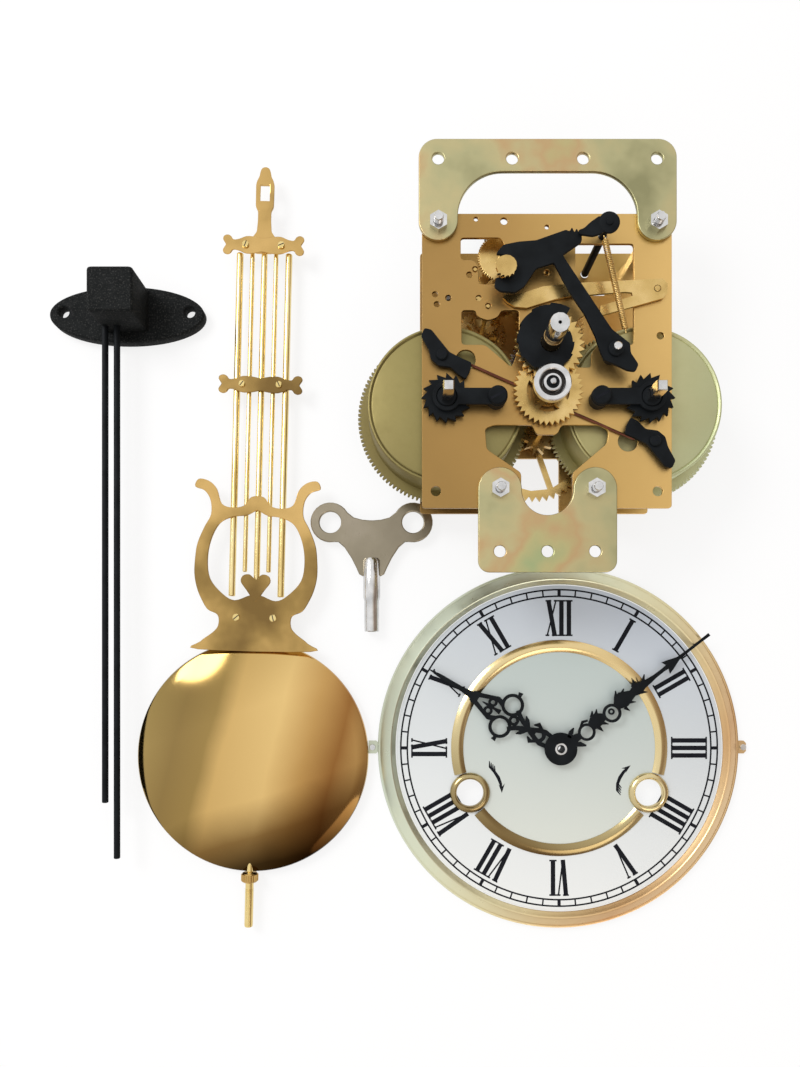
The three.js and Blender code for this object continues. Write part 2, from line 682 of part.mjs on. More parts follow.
function wheelArbor({ wheel, wheelBottom, spokes, leaf, leafBottom, leafTop }) {
  const [wheelTeeth, wheelPitch] = wheel;
  const [leafTeeth, leafPitch] = leaf;
  return join(
    arbor(),
    crossedWheel(wheelTeeth, wheelPitch, wheelBottom, spokes),
    pinion(leafTeeth, leafPitch, leafBottom, leafTop),
  );
}

const secondWheel = wheelArbor({
  wheel: [secondTeeth, secondPitch],
  wheelBottom: secondWheelHeight,
  spokes: 4,
  leaf: [pinionTeeth, secondPinionPitch],
  leafBottom: rightGreatHeight - pinionReach,
  leafTop: rightGreatHeight + greatThickness + pinionReach,
});
movement.add(mesh("time_second_wheel", secondWheel, brass, secondPlace, secondTurn));

// The hand arbor carries the centre wheel between the plates and the cannon pinion in front
function handArborPiece() {
  const shaft = turned([
    [0, backPlateHeight], [pivotRadius, backPlateHeight], [pivotRadius, innerBack + seatGap],
    [arborRadius, innerBack + seatGap], [arborRadius, innerFront - handShoulder],
    [handArborRadius, innerFront - handShoulder], [handArborRadius, handArborTop - handCapHeight],
    [handCapRadius, handArborTop - handCapHeight], [handCapRadius, handArborTop], [0, handArborTop],
  ], 12);
  const leaves = pinion(pinionTeeth, centrePinionPitch, secondWheelHeight - pinionReach,
    secondWheelHeight + wheelThickness + pinionReach);
  const wheel = crossedWheel(centreTeeth, centrePitch, centreWheelHeight, 0);
  const cannon = pinion(cannonTeeth, cannonPitch, motionHeight - pinionReach, motionHeight + motionThickness + pinionReach);
  const bore = drum(pivotRadius, handArborTop - handCapHeight, handArborTop + overrun, 6);
  return cut(join(shaft, leaves, wheel, cannon), bore);
}
movement.add(mesh("hand_arbor", handArborPiece(), steel, handArbor, centreTurn));

const thirdWheel = wheelArbor({
  wheel: [thirdTeeth, thirdPitch],
  wheelBottom: thirdWheelHeight,
  spokes: 0,
  leaf: [thirdPinionTeeth, thirdPinionPitch],
  leafBottom: centreWheelHeight - pinionReach,
  leafTop: centreWheelHeight + wheelThickness + pinionReach,
});
movement.add(mesh("time_third_wheel", thirdWheel, brass, thirdPlace, thirdTurn));

function escapeWheelPiece() {
  const saw = sawShape(escapeTeeth, escapeTip, escapeRoot, 1);
  const wheel = prism(saw, escapeHeight, escapeHeight + escapeThickness, 2);
  const leafBottom = thirdWheelHeight - pinionReach;
  const leaves = pinion(escapePinionTeeth, escapePinionPitch, leafBottom, thirdWheelHeight + wheelThickness + pinionReach);
  return join(arbor(), wheel, leaves);
}
movement.add(mesh("escape_wheel", escapeWheelPiece(), brass, escapePlace, escapeTurn));

// The verge: the pallets over the escape wheel, and the crutch behind the back plate
const pallets = { tipRadius: 10.7, width: 2.6, spread: 0.95, thickness: 1.6 };
const crutchDrop = 6;
const crutch = {
  height: backPlateHeight - crutchDrop,
  thickness: 1.2,
  width: 3,
  reach: 60,
  fork: 10,
  gap: 4.4,
};

function vergePiece() {
  const rise = vergePlace.y - escapePlace.y;
  const inner = pallets.tipRadius;
  const outer = inner + pallets.width;
  const arch = new THREE.Shape();
  arch.absarc(0, -rise, outer, Math.PI / 2 - pallets.spread, Math.PI / 2 + pallets.spread, false);
  arch.absarc(0, -rise, inner, Math.PI / 2 + pallets.spread, Math.PI / 2 - pallets.spread, true);
  arch.closePath();
  const bottom = escapeHeight - pinionReach;
  const bow = prism(arch, bottom, bottom + pallets.thickness, 4);
  const hub = drum(hubRadius, bottom, bottom + pallets.thickness, 10);
  const shaft = turned([
    [0, crutch.height], [arborRadius, crutch.height], [arborRadius, innerFront - runningGap],
    [pivotRadius, innerFront - runningGap], [pivotRadius, frontHeight], [0, frontHeight],
  ], 8);
  const crutchTop = crutch.height + crutch.thickness;
  const end = { x: 0, y: -crutch.reach };
  const rod = bar({ x: 0, y: 0 }, end, crutch.width, crutch.height, crutchTop);
  const fork = box(crutch.gap + 2 * crutch.width, crutch.fork, crutch.height, crutchTop);
  const forkSlot = box(crutch.gap, crutch.fork, crutch.height - overrun, crutchTop + overrun);
  const prongs = cut(fork, forkSlot.translate([0, -crutch.width, 0])).translate([0, end.y - crutch.fork / 2, 0]);
  return join(bow, hub, shaft, rod, prongs);
}
movement.add(mesh("verge_and_crutch", vergePiece(), darkSteel, vergePlace));

// The suspension cock stands off the back of the back plate and reaches above both plates
const cock = { x: -17, width: 10, footHeight: 14.2, reach: 19.8, thickness: 2, slot: 1.2 };

function cockPiece() {
  const plateTop = plateHeight / 2;
  const foot = box(cock.width, cock.footHeight, backPlateHeight - cock.thickness, backPlateHeight);
  const arm = box(cock.width, cock.footHeight + cock.reach, 0, cock.thickness);
  const wall = box(cock.thickness, cock.footHeight + cock.reach, 0, backPlateHeight);
  const slot = box(cock.slot, cock.thickness * 3, -overrun, cock.thickness + overrun);
  const armY = plateTop + (cock.reach - cock.footHeight) / 2;
  const whole = join(
    foot.translate([0, plateTop - cock.footHeight / 2, 0]),
    arm.translate([0, armY, 0]),
    wall.translate([(cock.thickness - cock.width) / 2, armY, 0]),
  );
  return cut(whole, slot.translate([0, plateTop + cock.reach, 0]));
}
movement.add(mesh("suspension_cock", cockPiece(), black, { x: cock.x, y: 0 }));

// Motion work: the minute wheel on its stud, the hour wheel with its pipe, and the snail
const motionStud = { shoulder: 3, shoulderTop: motionHeight - seatGap };

function collarPiece() {
  const c = collar;
  const top = c.height + c.thickness;
  const web = c.height + c.thickness / 4;
  return turned([
    [0, frontHeight], [motionStud.shoulder, frontHeight], [motionStud.shoulder, motionStud.shoulderTop],
    [c.stud, motionStud.shoulderTop], [c.stud, c.height], [c.radius, c.height], [c.radius, top],
    [c.radius - c.wall, top], [c.radius - c.wall, web], [c.hub, web], [c.hub, top], [c.stud, top],
    [c.stud, top + c.stud], [0, top + c.stud],
  ], 16);
}
movement.add(mesh("motion_stud", collarPiece(), steel, motionPlace));

function minuteWheelPiece() {
  const shape = gearShape(minuteTeeth, minutePitch);
  addCrossings(shape, 4, collar.radius - collar.wall / 2, minutePitch - 2 * rimWidth, 2 * rimWidth);
  const wheel = prism(shape, motionHeight, motionHeight + motionThickness, 2);
  const leaves = pinion(minutePinionTeeth, minutePinionPitch, motionHeight, hourHeight + hourThickness + pinionReach);
  const bore = drum(collar.stud + runningGap, motionHeight - overrun, snailHeight, 10);
  return cut(join(wheel, leaves), bore);
}
movement.add(mesh("minute_wheel", minuteWheelPiece(), brass, motionPlace, minuteTurn));

function hourWheelPiece() {
  const wheel = crossedWheel(hourTeeth, hourPitch, hourHeight, 3);
  const pipe = drum(hourPipeRadius, hourHeight, hourPipeTop, 14);
  const hub = drum(hourPipeRadius + rimWidth, hourHeight, snailHeight, 12);
  const bore = drum(handArborRadius + runningGap, hourHeight - overrun, hourPipeTop + overrun, 12);
  return cut(join(wheel, pipe, hub), bore);
}
movement.add(mesh("hour_wheel", hourWheelPiece(), brass, handArbor, hourTurn));

// The snail falls by one step for each hour; it starts at its drop
const snailSteps = 12;
const snailDrop = 1.05;

function snailPiece() {
  const shape = new THREE.Shape();
  const step = (2 * Math.PI) / snailSteps;
  for (let hour = 0; hour < snailSteps; hour += 1) {
    const radius = snailSmallest + ((snailLargest - snailSmallest) * hour) / (snailSteps - 1);
    shape.absarc(0, 0, radius, snailDrop - hour * step, snailDrop - (hour + 1) * step, true);
  }
  shape.closePath();
  const body = prism(shape, snailHeight, snailHeight + snailThickness, 2);
  return cut(body, drum(hourPipeRadius + seatGap, snailHeight - overrun, snailHeight + snailThickness + overrun, 12));
}
movement.add(mesh("snail", snailPiece(), black, handArbor));

// Rack work: the stud, the rack with its saw teeth and tail, and its spring
const rackStud = { shoulder: 3.4, radius: 2, rise: 4.3, nut: 3.2, nutHeight: 1 };
const rackShares = [
  [-1.016, 0.812], [-0.954, 0.888], [-0.826, 0.914], [-0.674, 0.926], [-0.42, 1.016], [-0.39, 1.0], [-0.37, 1.04],
  [-0.35, 0.99], [-0.33, 1.03], [-0.31, 0.98], [-0.29, 1.01], [-0.285, 0.914], [-0.42, 0.812], [0.064, 0.178],
  [0.124, 0.05], [0.13, -0.03], [0.196, -0.128], [0.172, -0.188], [0.104, -0.18], [0, -0.13], [-0.096, -0.092],
  [-0.132, -0.01], [-0.11, 0.07], [-0.21, 0.22], [-0.252, 0.238], [-0.264, 0.252], [-0.262, 0.3], [-0.522, 0.736],
  [-0.674, 0.686], [-0.776, 0.532], [-0.852, 0.482], [-0.978, 0.494], [-1.03, 0.532], [-1.016, 0.61],
  [-0.94, 0.604], [-0.872, 0.632], [-0.852, 0.692], [-0.872, 0.76], [-0.932, 0.796],
];

function rackStudPiece() {
  const nutBottom = rackHeight + rackThickness + seatGap;
  const top = rackHeight + rackThickness + rackStud.rise;
  return turned([
    [0, frontHeight], [rackStud.shoulder, frontHeight], [rackStud.shoulder, rackHeight - seatGap],
    [rackStud.radius, rackHeight - seatGap], [rackStud.radius, nutBottom], [rackStud.nut, nutBottom],
    [rackStud.nut, nutBottom + rackStud.nutHeight], [rackStud.radius, nutBottom + rackStud.nutHeight],
    [rackStud.radius, top], [0, top],
  ], 12);
}
movement.add(mesh("rack_stud", rackStudPiece(), steel, rackPlace));

function rackPiece() {
  const body = prism(outline(rackShares, rackSpan), rackHeight, rackHeight + rackThickness);
  return cut(body, drum(rackStud.radius + runningGap, rackHeight - overrun, rackHeight + rackThickness + overrun, 12));
}
movement.add(mesh("rack_lever", rackPiece(), black, rackPlace));

// A close-wound spring from one place to another, its wire led in along the axis at both ends
function springPoints(from, to, { radius, curls }, steps, lead) {
  const axis = new THREE.Vector3().subVectors(to, from).normalize();
  const side = new THREE.Vector3(0, 0, 1);
  const across = new THREE.Vector3().crossVectors(axis, side);
  const length = from.distanceTo(to) - 2 * lead;
  const count = curls * steps;
  const points = [from.clone()];
  for (let i = 0; i <= count; i += 1) {
    const ease = Math.min(1, (i / steps) * 2, ((count - i) / steps) * 2);
    const angle = (i / steps) * 2 * Math.PI;
    points.push(from.clone()
      .addScaledVector(axis, lead + (length * i) / count)
      .addScaledVector(across, radius * ease * Math.cos(angle))
      .addScaledVector(side, radius * ease * Math.sin(angle)));
  }
  points.push(to.clone());
  return points;
}

function tubeAlong(points, radius, sides) {
  const first = new THREE.Vector3(0, 0, 1);
  const vertices = [];
  const faces = [];
  const direction = new THREE.Vector3();
  points.forEach((point, i) => {
    const before = points[Math.max(i - 1, 0)];
    const after = points[Math.min(i + 1, points.length - 1)];
    direction.subVectors(after, before).normalize();
    first.addScaledVector(direction, -first.dot(direction)).normalize();
    const second = new THREE.Vector3().crossVectors(direction, first);
    for (let k = 0; k < sides; k += 1) {
      const angle = (k / sides) * 2 * Math.PI;
      const corner = point.clone()
        .addScaledVector(first, radius * Math.cos(angle))
        .addScaledVector(second, radius * Math.sin(angle));
      vertices.push(corner.x, corner.y, corner.z);
    }
  });
  const rings = points.length;
  for (let i = 0; i < rings - 1; i += 1) {
    for (let k = 0; k < sides; k += 1) {
      const a = i * sides + k;
      const b = i * sides + ((k + 1) % sides);
      faces.push(a, b, b + sides, a, b + sides, a + sides);
    }
  }
  for (let k = 1; k < sides - 1; k += 1) {
    const end = (rings - 1) * sides;
    faces.push(0, k + 1, k, end, end + k, end + k + 1);
  }
  const geometry = new THREE.BufferGeometry();
  geometry.setAttribute("position", new THREE.Float32BufferAttribute(vertices, 3));
  geometry.setIndex(faces);
  return solid(geometry);
}

// The least distance between stretches of the spring's wire that lie a curl apart, less its diameter
function leastGap(points, stepsPerCurl, diameter) {
  const turnsOnly = points.slice(stepsPerCurl, points.length - stepsPerCurl);
  const gaps = turnsOnly.slice(stepsPerCurl)
    .map((point, i) => Math.min(...turnsOnly.slice(i, i + 3).map((other) => other.distanceTo(point))) - diameter);
  return Math.min(...gaps);
}

const springStepsPerCurl = 6;
const springLevel = rackHeight + rackThickness + rackSpring.lift;
const springFrom = new THREE.Vector3(rackSpring.topX, rackSpring.topY, springLevel);
const springTo = new THREE.Vector3(rackSpring.bottomX, rackSpring.bottomY, springLevel);
const springLine = springPoints(springFrom, springTo, rackSpring, springStepsPerCurl, rackSpring.lead);
const springGap = leastGap(springLine, springStepsPerCurl, 2 * rackSpring.wire);
console.log(`rack_spring least gap to itself ${springGap.toFixed(3)} mm`);
movement.add(mesh("rack_spring", tubeAlong(springLine, rackSpring.wire, 4), brass));

// The hook that holds the rack, on its own arbor through both plates
const hookShares = [
  [-0.32, 0.19], [-0.6, -0.01], [-0.79, -0.19], [-0.98, -0.26], [-0.93, -0.38], [-0.51, -0.44], [-0.23, -0.36],
  [0.1, 0],
];

function hookPiece() {
  const top = hookHeight + hookThickness;
  const arm = prism(outline(hookShares, hook.span), hookHeight, top);
  const head = drum(hook.head, hookHeight, top, 14);
  const shaft = turned([
    [0, backPlateHeight], [pivotRadius, backPlateHeight], [pivotRadius, innerBack + seatGap],
    [hook.arbor, innerBack + seatGap], [hook.arbor, innerFront - seatGap], [arborRadius, innerFront - seatGap],
    [arborRadius, top + hook.rivet], [0, top + hook.rivet],
  ], 6);
  return join(arm, head, shaft);
}
movement.add(mesh("rack_hook", hookPiece(), black, hookPlace));

// Strike train: pin wheel, gathering wheel with its disc in front of the plate, and fly
const pins = { count: 8, circle: 8.8, radius: 0.6, reach: 1.3 };

function pinWheelPiece() {
  const top = secondWheelHeight + wheelThickness;
  const body = wheelArbor({
    wheel: [pinWheelTeeth, pinPitch],
    wheelBottom: secondWheelHeight,
    spokes: 0,
    leaf: [pinionTeeth, pinPinionPitch],
    leafBottom: leftGreatHeight - pinionReach,
    leafTop: leftGreatHeight + greatThickness + pinionReach,
  });
  const liftingPins = Array.from({ length: pins.count }, (_, i) => {
    const angle = (i / pins.count) * 2 * Math.PI;
    const place = { x: pins.circle * Math.cos(angle), y: pins.circle * Math.sin(angle) };
    return drumAt(place, pins.radius, top - pins.reach / 2, top + pins.reach, 5);
  });
  return join(body, ...liftingPins);
}
movement.add(mesh("pin_wheel", pinWheelPiece(), brass, pinWheelPlace, pinTurn));

const gatheringWheelHeight = innerBack + trainLift.gathering;
const discShares = [
  [0.35, -0.88], [0.62, -1.02], [0.62, -0.66], [0.9, -0.74], [0.82, -0.38], [1.1, -0.4], [0.93, -0.02],
  [1.16, 0.05], [0.88, 0.34], [1.0, 0.5], [0.68, 0.66],
];

function gatheringPiece() {
  const discBottom = gatheringDisc.height;
  const top = discBottom + gatheringDisc.thickness;
  const shape = outline(discShares, gatheringDisc.radius);
  shape.absarc(0, 0, gatheringDisc.radius, discArc.start, discArc.end, false);
  shape.closePath();
  const shaft = turned([
    [0, backPlateHeight], [pivotRadius, backPlateHeight], [pivotRadius, innerBack + seatGap],
    [arborRadius, innerBack + seatGap], [arborRadius, top], [0, top],
  ], 6);
  return join(
    shaft,
    prism(shape, discBottom, top, 5),
    pinion(strikePinionTeeth, gatheringPinionPitch, secondWheelHeight - pinionReach,
      secondWheelHeight + wheelThickness + pinionReach),
    crossedWheel(pinWheelTeeth, gatheringPitch, gatheringWheelHeight, 3),
  );
}
movement.add(mesh("gathering_wheel", gatheringPiece(), brass, gatheringPlace, gatheringTurn));

const vaneLift = 6;
const flyVane = { span: 16, thickness: 0.8, bottom: innerBack + vaneLift, height: 9.4 };

function flyPiece() {
  const leaves = pinion(strikePinionTeeth, flyPinionPitch, gatheringWheelHeight - pinionReach,
    gatheringWheelHeight + wheelThickness + pinionReach);
  const vaneTop = flyVane.bottom + flyVane.height;
  const vane = box(flyVane.span, flyVane.thickness, flyVane.bottom, vaneTop);
  const sleeve = drum(arborRadius + flyVane.thickness, flyVane.bottom, vaneTop, 8);
  return join(arbor(), leaves, vane, sleeve);
}
movement.add(mesh("fly", flyPiece(), brass, flyPlace, flyTurn));

// The hammer: a tail beside the pins, an arbor through the back plate and the arm with its head behind
const hammer = {
  tail: 7.2,
  tailWidth: 1.6,
  armWidth: 3,
  armHeight: crutch.height,
  arm: 60,
  head: 4.6,
  headBottom: 1,
  headLength: 9,
};

function hammerPiece() {
  const tailBottom = secondWheelHeight + wheelThickness + pins.reach / 4;
  const tailTop = secondWheelHeight + wheelThickness + pins.reach;
  const line = Math.atan2(pinWheelPlace.y - hammerPlace.y, pinWheelPlace.x - hammerPlace.x);
  const tailEnd = { x: hammer.tail * Math.cos(line), y: hammer.tail * Math.sin(line) };
  const headPlace = { x: 0, y: -hammer.arm };
  const armTop = hammer.armHeight + hammer.armWidth / 2;
  const shaft = turned([
    [0, hammer.armHeight], [arborRadius, hammer.armHeight], [arborRadius, innerFront - runningGap],
    [pivotRadius, innerFront - runningGap], [pivotRadius, frontHeight], [0, frontHeight],
  ], 8);
  return join(
    shaft,
    bar({ x: 0, y: 0 }, tailEnd, hammer.tailWidth, tailBottom, tailTop),
    bar({ x: 0, y: 0 }, headPlace, hammer.armWidth, hammer.armHeight, armTop),
    drumAt(headPlace, hammer.head, hammer.headBottom, hammer.headBottom + hammer.headLength, 12),
  );
}
movement.add(mesh("hammer", hammerPiece(), darkSteel, hammerPlace));

// The slotted brass lever that lifts the strike, on its stud at the plate's right edge
const liftShares = [
  [0.031, 0.061], [-0.51, 0.033], [-0.71, 0.012], [-0.84, -0.03], [-0.9, -0.04], [-0.95, -0.04], [-0.957, -0.06],
  [-0.93, -0.087], [-0.884, -0.114], [-0.81, -0.12], [-0.643, -0.069], [-0.55, -0.05], [-0.2, -0.022],
  [-0.16, -0.026], [-0.155, -0.046], [-0.2, -0.062], [-0.356, -0.108], [-0.356, -0.17], [0.035, -0.061],
  [0.06, -0.03], [0.063, 0.03],
];

function liftPiece() {
  const body = prism(outline(liftShares, liftSpan), liftHeight, liftHeight + liftThickness);
  return cut(body, drum(liftStudRadius + runningGap, liftHeight - overrun, liftHeight + liftThickness + overrun, 10));
}
movement.add(mesh("lifting_lever", liftPiece(), brass, liftPlace));

// Dial: a raised brass rim, the face, the inner ring and two grommets round the winding holes
const dial = new THREE.Group();
dial.position.set(dialPlace.x, dialPlace.y, 0);
const rim = { outer: 89.5, inner: 80.6, edge: 3.6, crest: 8.2, sheet: 0.9 };
const face = { radius: rim.inner - seatGap, height: 4, thickness: 0.8, centreHole: 5 };
const innerRing = { inner: 48, outer: 52.2, rise: 1.6 };
const windingHole = { x: 44, y: -22, radius: 6.6, outer: 9.8, rise: 2.4, lip: 1.6 };
const dialEar = { reach: 5.4, width: 7, thickness: 1, hole: 1.1 };
const dialFoot = { circle: 68, radius: 2.4, angles: [0.8, 2.34, 3.94, 5.48] };
const dialSides = 46;
const faceTop = face.height + face.thickness;
const windingHoles = [{ x: -windingHole.x, y: windingHole.y }, { x: windingHole.x, y: windingHole.y }];

function rimPiece() {
  const r = rim;
  const crestOuter = r.outer - (r.crest - r.edge);
  const crestInner = r.inner + r.sheet * 2;
  const shell = turned([
    [r.outer, 0], [r.outer, r.edge], [crestOuter, r.crest], [crestInner, r.crest], [r.inner, faceTop + r.sheet],
    [r.inner, faceTop + seatGap], [crestInner + r.sheet, r.crest - r.sheet], [r.outer - r.sheet, 0], [r.outer, 0],
  ], dialSides);
  const ears = [-1, 1].map((side) => {
    const ear = box(dialEar.reach, dialEar.width, 0, dialEar.thickness);
    const x = side * (r.outer + dialEar.reach / 2 - r.sheet);
    const hole = drumAt({ x: side * (r.outer + dialEar.reach / 2), y: 0 }, dialEar.hole, -overrun, rim.crest, 8);
    return cut(ear.translate([x, 0, 0]), hole);
  });
  return join(shell, ...ears);
}
dial.add(mesh("dial_rim", rimPiece(), polishedBrass));

function facePiece() {
  const shape = new THREE.Shape();
  shape.absarc(0, 0, face.radius, 0, 2 * Math.PI, false);
  const disc = prism(shape, face.height, faceTop, 22);
  const cuts = windingHoles.map((place) => drumAt(place, windingHole.radius + seatGap, 0, faceTop + overrun, 16));
  const feet = dialFoot.angles.map((angle) => {
    const place = { x: dialFoot.circle * Math.cos(angle), y: dialFoot.circle * Math.sin(angle) };
    return drumAt(place, dialFoot.radius, 0, face.height + seatGap, 5);
  });
  return cut(join(disc, ...feet), ...cuts, drum(face.centreHole, 0, faceTop + overrun, 16));
}
dial.add(mesh("dial_face", facePiece(), enamel));

function innerRingPiece() {
  const middle = (innerRing.inner + innerRing.outer) / 2;
  const body = turned([
    [innerRing.inner, faceTop], [innerRing.outer, faceTop], [innerRing.outer, faceTop + innerRing.rise / 2],
    [middle, faceTop + innerRing.rise], [innerRing.inner, faceTop + innerRing.rise / 2], [innerRing.inner, faceTop],
  ], 36);
  const rounds = windingHoles
    .map((place) => drumAt(place, windingHole.outer + seatGap, faceTop - overrun, faceTop + 2 * innerRing.rise, 16));
  return cut(body, ...rounds);
}
const ringHalves = innerRingPiece().decompose();
ringHalves.sort((a, b) => b.volume() - a.volume());
dial.add(mesh("dial_inner_ring", ringHalves[0], polishedBrass));
dial.add(mesh("dial_inner_ring_lower", ringHalves[1], polishedBrass));

function grommetPiece() {
  const g = windingHole;
  return turned([
    [g.radius, face.height], [g.radius + seatGap / 2, face.height], [g.radius + seatGap / 2, faceTop],
    [g.outer, faceTop], [g.outer, faceTop + g.rise / 2], [g.outer - g.lip, faceTop + g.rise],
    [g.radius, faceTop + g.rise / 2], [g.radius, face.height],
  ], 18);
}
dial.add(mesh("strike_hole_grommet", grommetPiece(), polishedBrass, windingHoles[0]));
dial.add(mesh("time_hole_grommet", grommetPiece(), polishedBrass, windingHoles[1]));

// Hands: pierced blades on a centre bush, the hour hand below the minute hand
const hourHand = { length: 74, thickness: 0.8, height: faceTop + windingHole.rise + seatGap, boss: 5.4 };
const minuteHand = { length: 91, thickness: 0.8, height: hourHand.height + hourHand.thickness + runningGap, boss: 5.6 };
const bush = { radius: 2.4, bottom: 1, bore: 1.5, rise: 1.6, collar: 3.4 };
const hourTurnAtRest = 1.026;
const minuteTurnAtRest = -0.911;

// Half outlines, from the boss to the tip along +Y, in shares of the hand's length
const hourHalfShares = [
  [0.05, 0.05], [0.07, 0.085], [0.062, 0.13], [0.03, 0.19], [0.045, 0.26], [0.075, 0.31], [0.1, 0.32], [0.14, 0.335],
  [0.172, 0.4], [0.165, 0.45], [0.13, 0.485], [0.09, 0.5], [0.08, 0.55], [0.05, 0.6], [0.02, 0.68], [0.014, 0.8],
];
const minuteHalfShares = [
  [0.035, 0.02], [0.05, 0.07], [0.062, 0.1], [0.03, 0.12], [0.045, 0.17], [0.05, 0.22], [0.036, 0.27], [0.062, 0.31],
  [0.04, 0.36], [0.045, 0.41], [0.03, 0.45], [0.058, 0.5], [0.03, 0.53], [0.018, 0.57], [0.042, 0.61], [0.014, 0.65],
  [0.012, 0.74], [0.038, 0.79], [0.01, 0.88],
];
const hourHoleShares = [[0.095, 0.41, 0.05], [-0.095, 0.41, 0.05], [0, 0.53, 0.036], [0, 0.12, 0.03]];
const minuteHoleShares = [[0, 0.2, 0.026], [0, 0.4, 0.022]];

function handPiece({ length, thickness, height, boss }, halfShares, holeShares) {
  const left = halfShares.map(([x, y]) => [-x, y]).reverse();
  const shape = outline([...halfShares, [0, 1], ...left], length);
  const blade = prism(shape, height, height + thickness);
  const bossDisc = drum(boss, height, height + thickness, 16);
  const holes = holeShares.map(([x, y, r]) => drumAt({ x: x * length, y: y * length }, r * length,
    height - overrun, height + thickness + overrun, 10));
  return cut(join(blade, bossDisc), ...holes);
}

function hourHandPiece() {
  const top = hourHand.height + hourHand.thickness;
  const tube = drum(bush.collar, hourHand.height - overrun, top, 12);
  const bore = drum(bush.radius + runningGap, 0, top + overrun, 12);
  return cut(join(handPiece(hourHand, hourHalfShares, hourHoleShares), tube), bore);
}

function minuteHandPiece() {
  const top = minuteHand.height + minuteHand.thickness;
  const post = drum(bush.radius, bush.bottom, top + bush.rise, 12);
  const bore = drum(bush.bore, 0, top + bush.rise + overrun, 8);
  return cut(join(handPiece(minuteHand, minuteHalfShares, minuteHoleShares), post), bore);
}
dial.add(mesh("hour_hand", hourHandPiece(), black, { x: 0, y: 0 }, hourTurnAtRest));
dial.add(mesh("minute_hand", minuteHandPiece(), black, { x: 0, y: 0 }, minuteTurnAtRest));

// Pendulum: hook, two bow bars, five rods, lyre, rod and bob; its origin is the bob's middle
const pendulum = new THREE.Group();
pendulum.position.set(pendulumPlace.x, pendulumPlace.y, 0);
pendulum.rotation.z = pendulumLean;
const bob = { radius: 57, edge: 5.4, crown: 12.6, channel: 2.4, chamfer: 2, bezel: 1.2 };

// The bob's crown in shares of its radius and of its rise above the edge
const crownShares = [[0.8, 0.45], [0.5, 0.82], [0.22, 0.96]];
const bowHeight = 7.8;
const bowThickness = 1.2;
const upperBow = { y: 249.6, half: 19.8, height: 9.6 };
const middleBow = { y: 182, half: 20.5, height: 9 };
const bowScrewShare = 0.44;
const hookHead = { reach: 26.1, width: 8.8, holeWidth: 4.8, holeHeight: 7.4 };

// The lyre rises from its foot on the bob's edge, which the bob's rim laps
const lyreLap = 5;
const lyre = { foot: bob.radius - lyreLap, span: 100, thickness: 1.2 };

// The grid's rods: place across, radius, and where they end above the lyre's foot in shares of its span
const outerRod = { x: 12, radius: 1.65, endShare: 0.265 };
const innerRod = { x: 5.8, radius: 1.1, endShare: 0.385 };
const middleRod = { x: 0, radius: 1.5, endShare: 0.348 };
const rodInset = 2.6;
const gridRods = [
  ["grid_rod_outer_left", -1, outerRod],
  ["grid_rod_inner_left", -1, innerRod],
  ["grid_rod_middle", 1, middleRod],
  ["grid_rod_inner_right", 1, innerRod],
  ["grid_rod_outer_right", 1, outerRod],
];

const bowHalfShares = [
  [0, 0.3], [0.2, 0.42], [0.42, 0.44], [0.6, 0.26], [0.74, 0.28], [0.86, 0.46], [1.0, 0.5], [0.92, 0.2], [0.95, 0],
  [0.92, -0.2], [1.0, -0.5], [0.86, -0.46], [0.74, -0.28], [0.6, -0.26], [0.42, -0.44], [0.2, -0.42],
];

function bowShape({ y, half, height }) {
  const right = bowHalfShares.map(([u, v]) => [u * half, y + v * height]);
  const left = bowHalfShares.slice(1).map(([u, v]) => [-u * half, y + v * height]).reverse();
  const [[, middleShare]] = bowHalfShares;
  const bottom = [[0, y - middleShare * height]];
  return new THREE.Shape([...right, ...bottom, ...left].map(([u, v]) => new THREE.Vector2(u, v)));
}

function bowPiece(bow) {
  const top = bowHeight + bowThickness;
  const screws = [-1, 1].map((side) => drumAt({ x: side * bow.half * bowScrewShare, y: bow.y }, bow.height / 6,
    bowHeight, top + bowThickness / 2, 10));
  return join(prism(bowShape(bow), bowHeight, top), ...screws);
}

const headShares = [
  [0.35, -4.6], [0.35, -2.2], [0.5, -1.6], [0.5, -0.9], [0.36, -0.62], [0.36, 0.62], [0.5, 0.9], [0.42, 1.15],
  [0.14, 1.4],
];

function pendulumHookPiece() {
  const h = hookHead;
  const holeY = upperBow.y + h.reach;
  const right = headShares.map(([u, v]) => [u * h.width, holeY + v * h.width]);
  const left = right.map(([u, v]) => [-u, v]).reverse();
  const shape = new THREE.Shape([...right, ...left].map(([u, v]) => new THREE.Vector2(u, v)));
  const top = bowHeight + bowThickness;
  const eye = box(h.holeWidth, h.holeHeight, bowHeight - overrun, top + overrun).translate([0, holeY, 0]);
  return join(cut(prism(shape, bowHeight, top), eye), bowPiece(upperBow));
}
pendulum.add(mesh("pendulum_hook", pendulumHookPiece(), polishedBrass));
pendulum.add(mesh("pendulum_bow", bowPiece(middleBow), polishedBrass));

// A round rod lying along Y
function rodAlongY(radius, from, to, height, sides = 10) {
  return drum(radius, 0, to - from, sides).rotate([-90, 0, 0]).translate([0, from, height]);
}
for (const [name, side, { x, radius, endShare }] of gridRods) {
  const bar = rodAlongY(radius, lyre.foot + endShare * lyre.span, upperBow.y - rodInset, bowHeight - radius);
  pendulum.add(mesh(name, bar, polishedBrass, { x: side * x, y: 0 }));
}

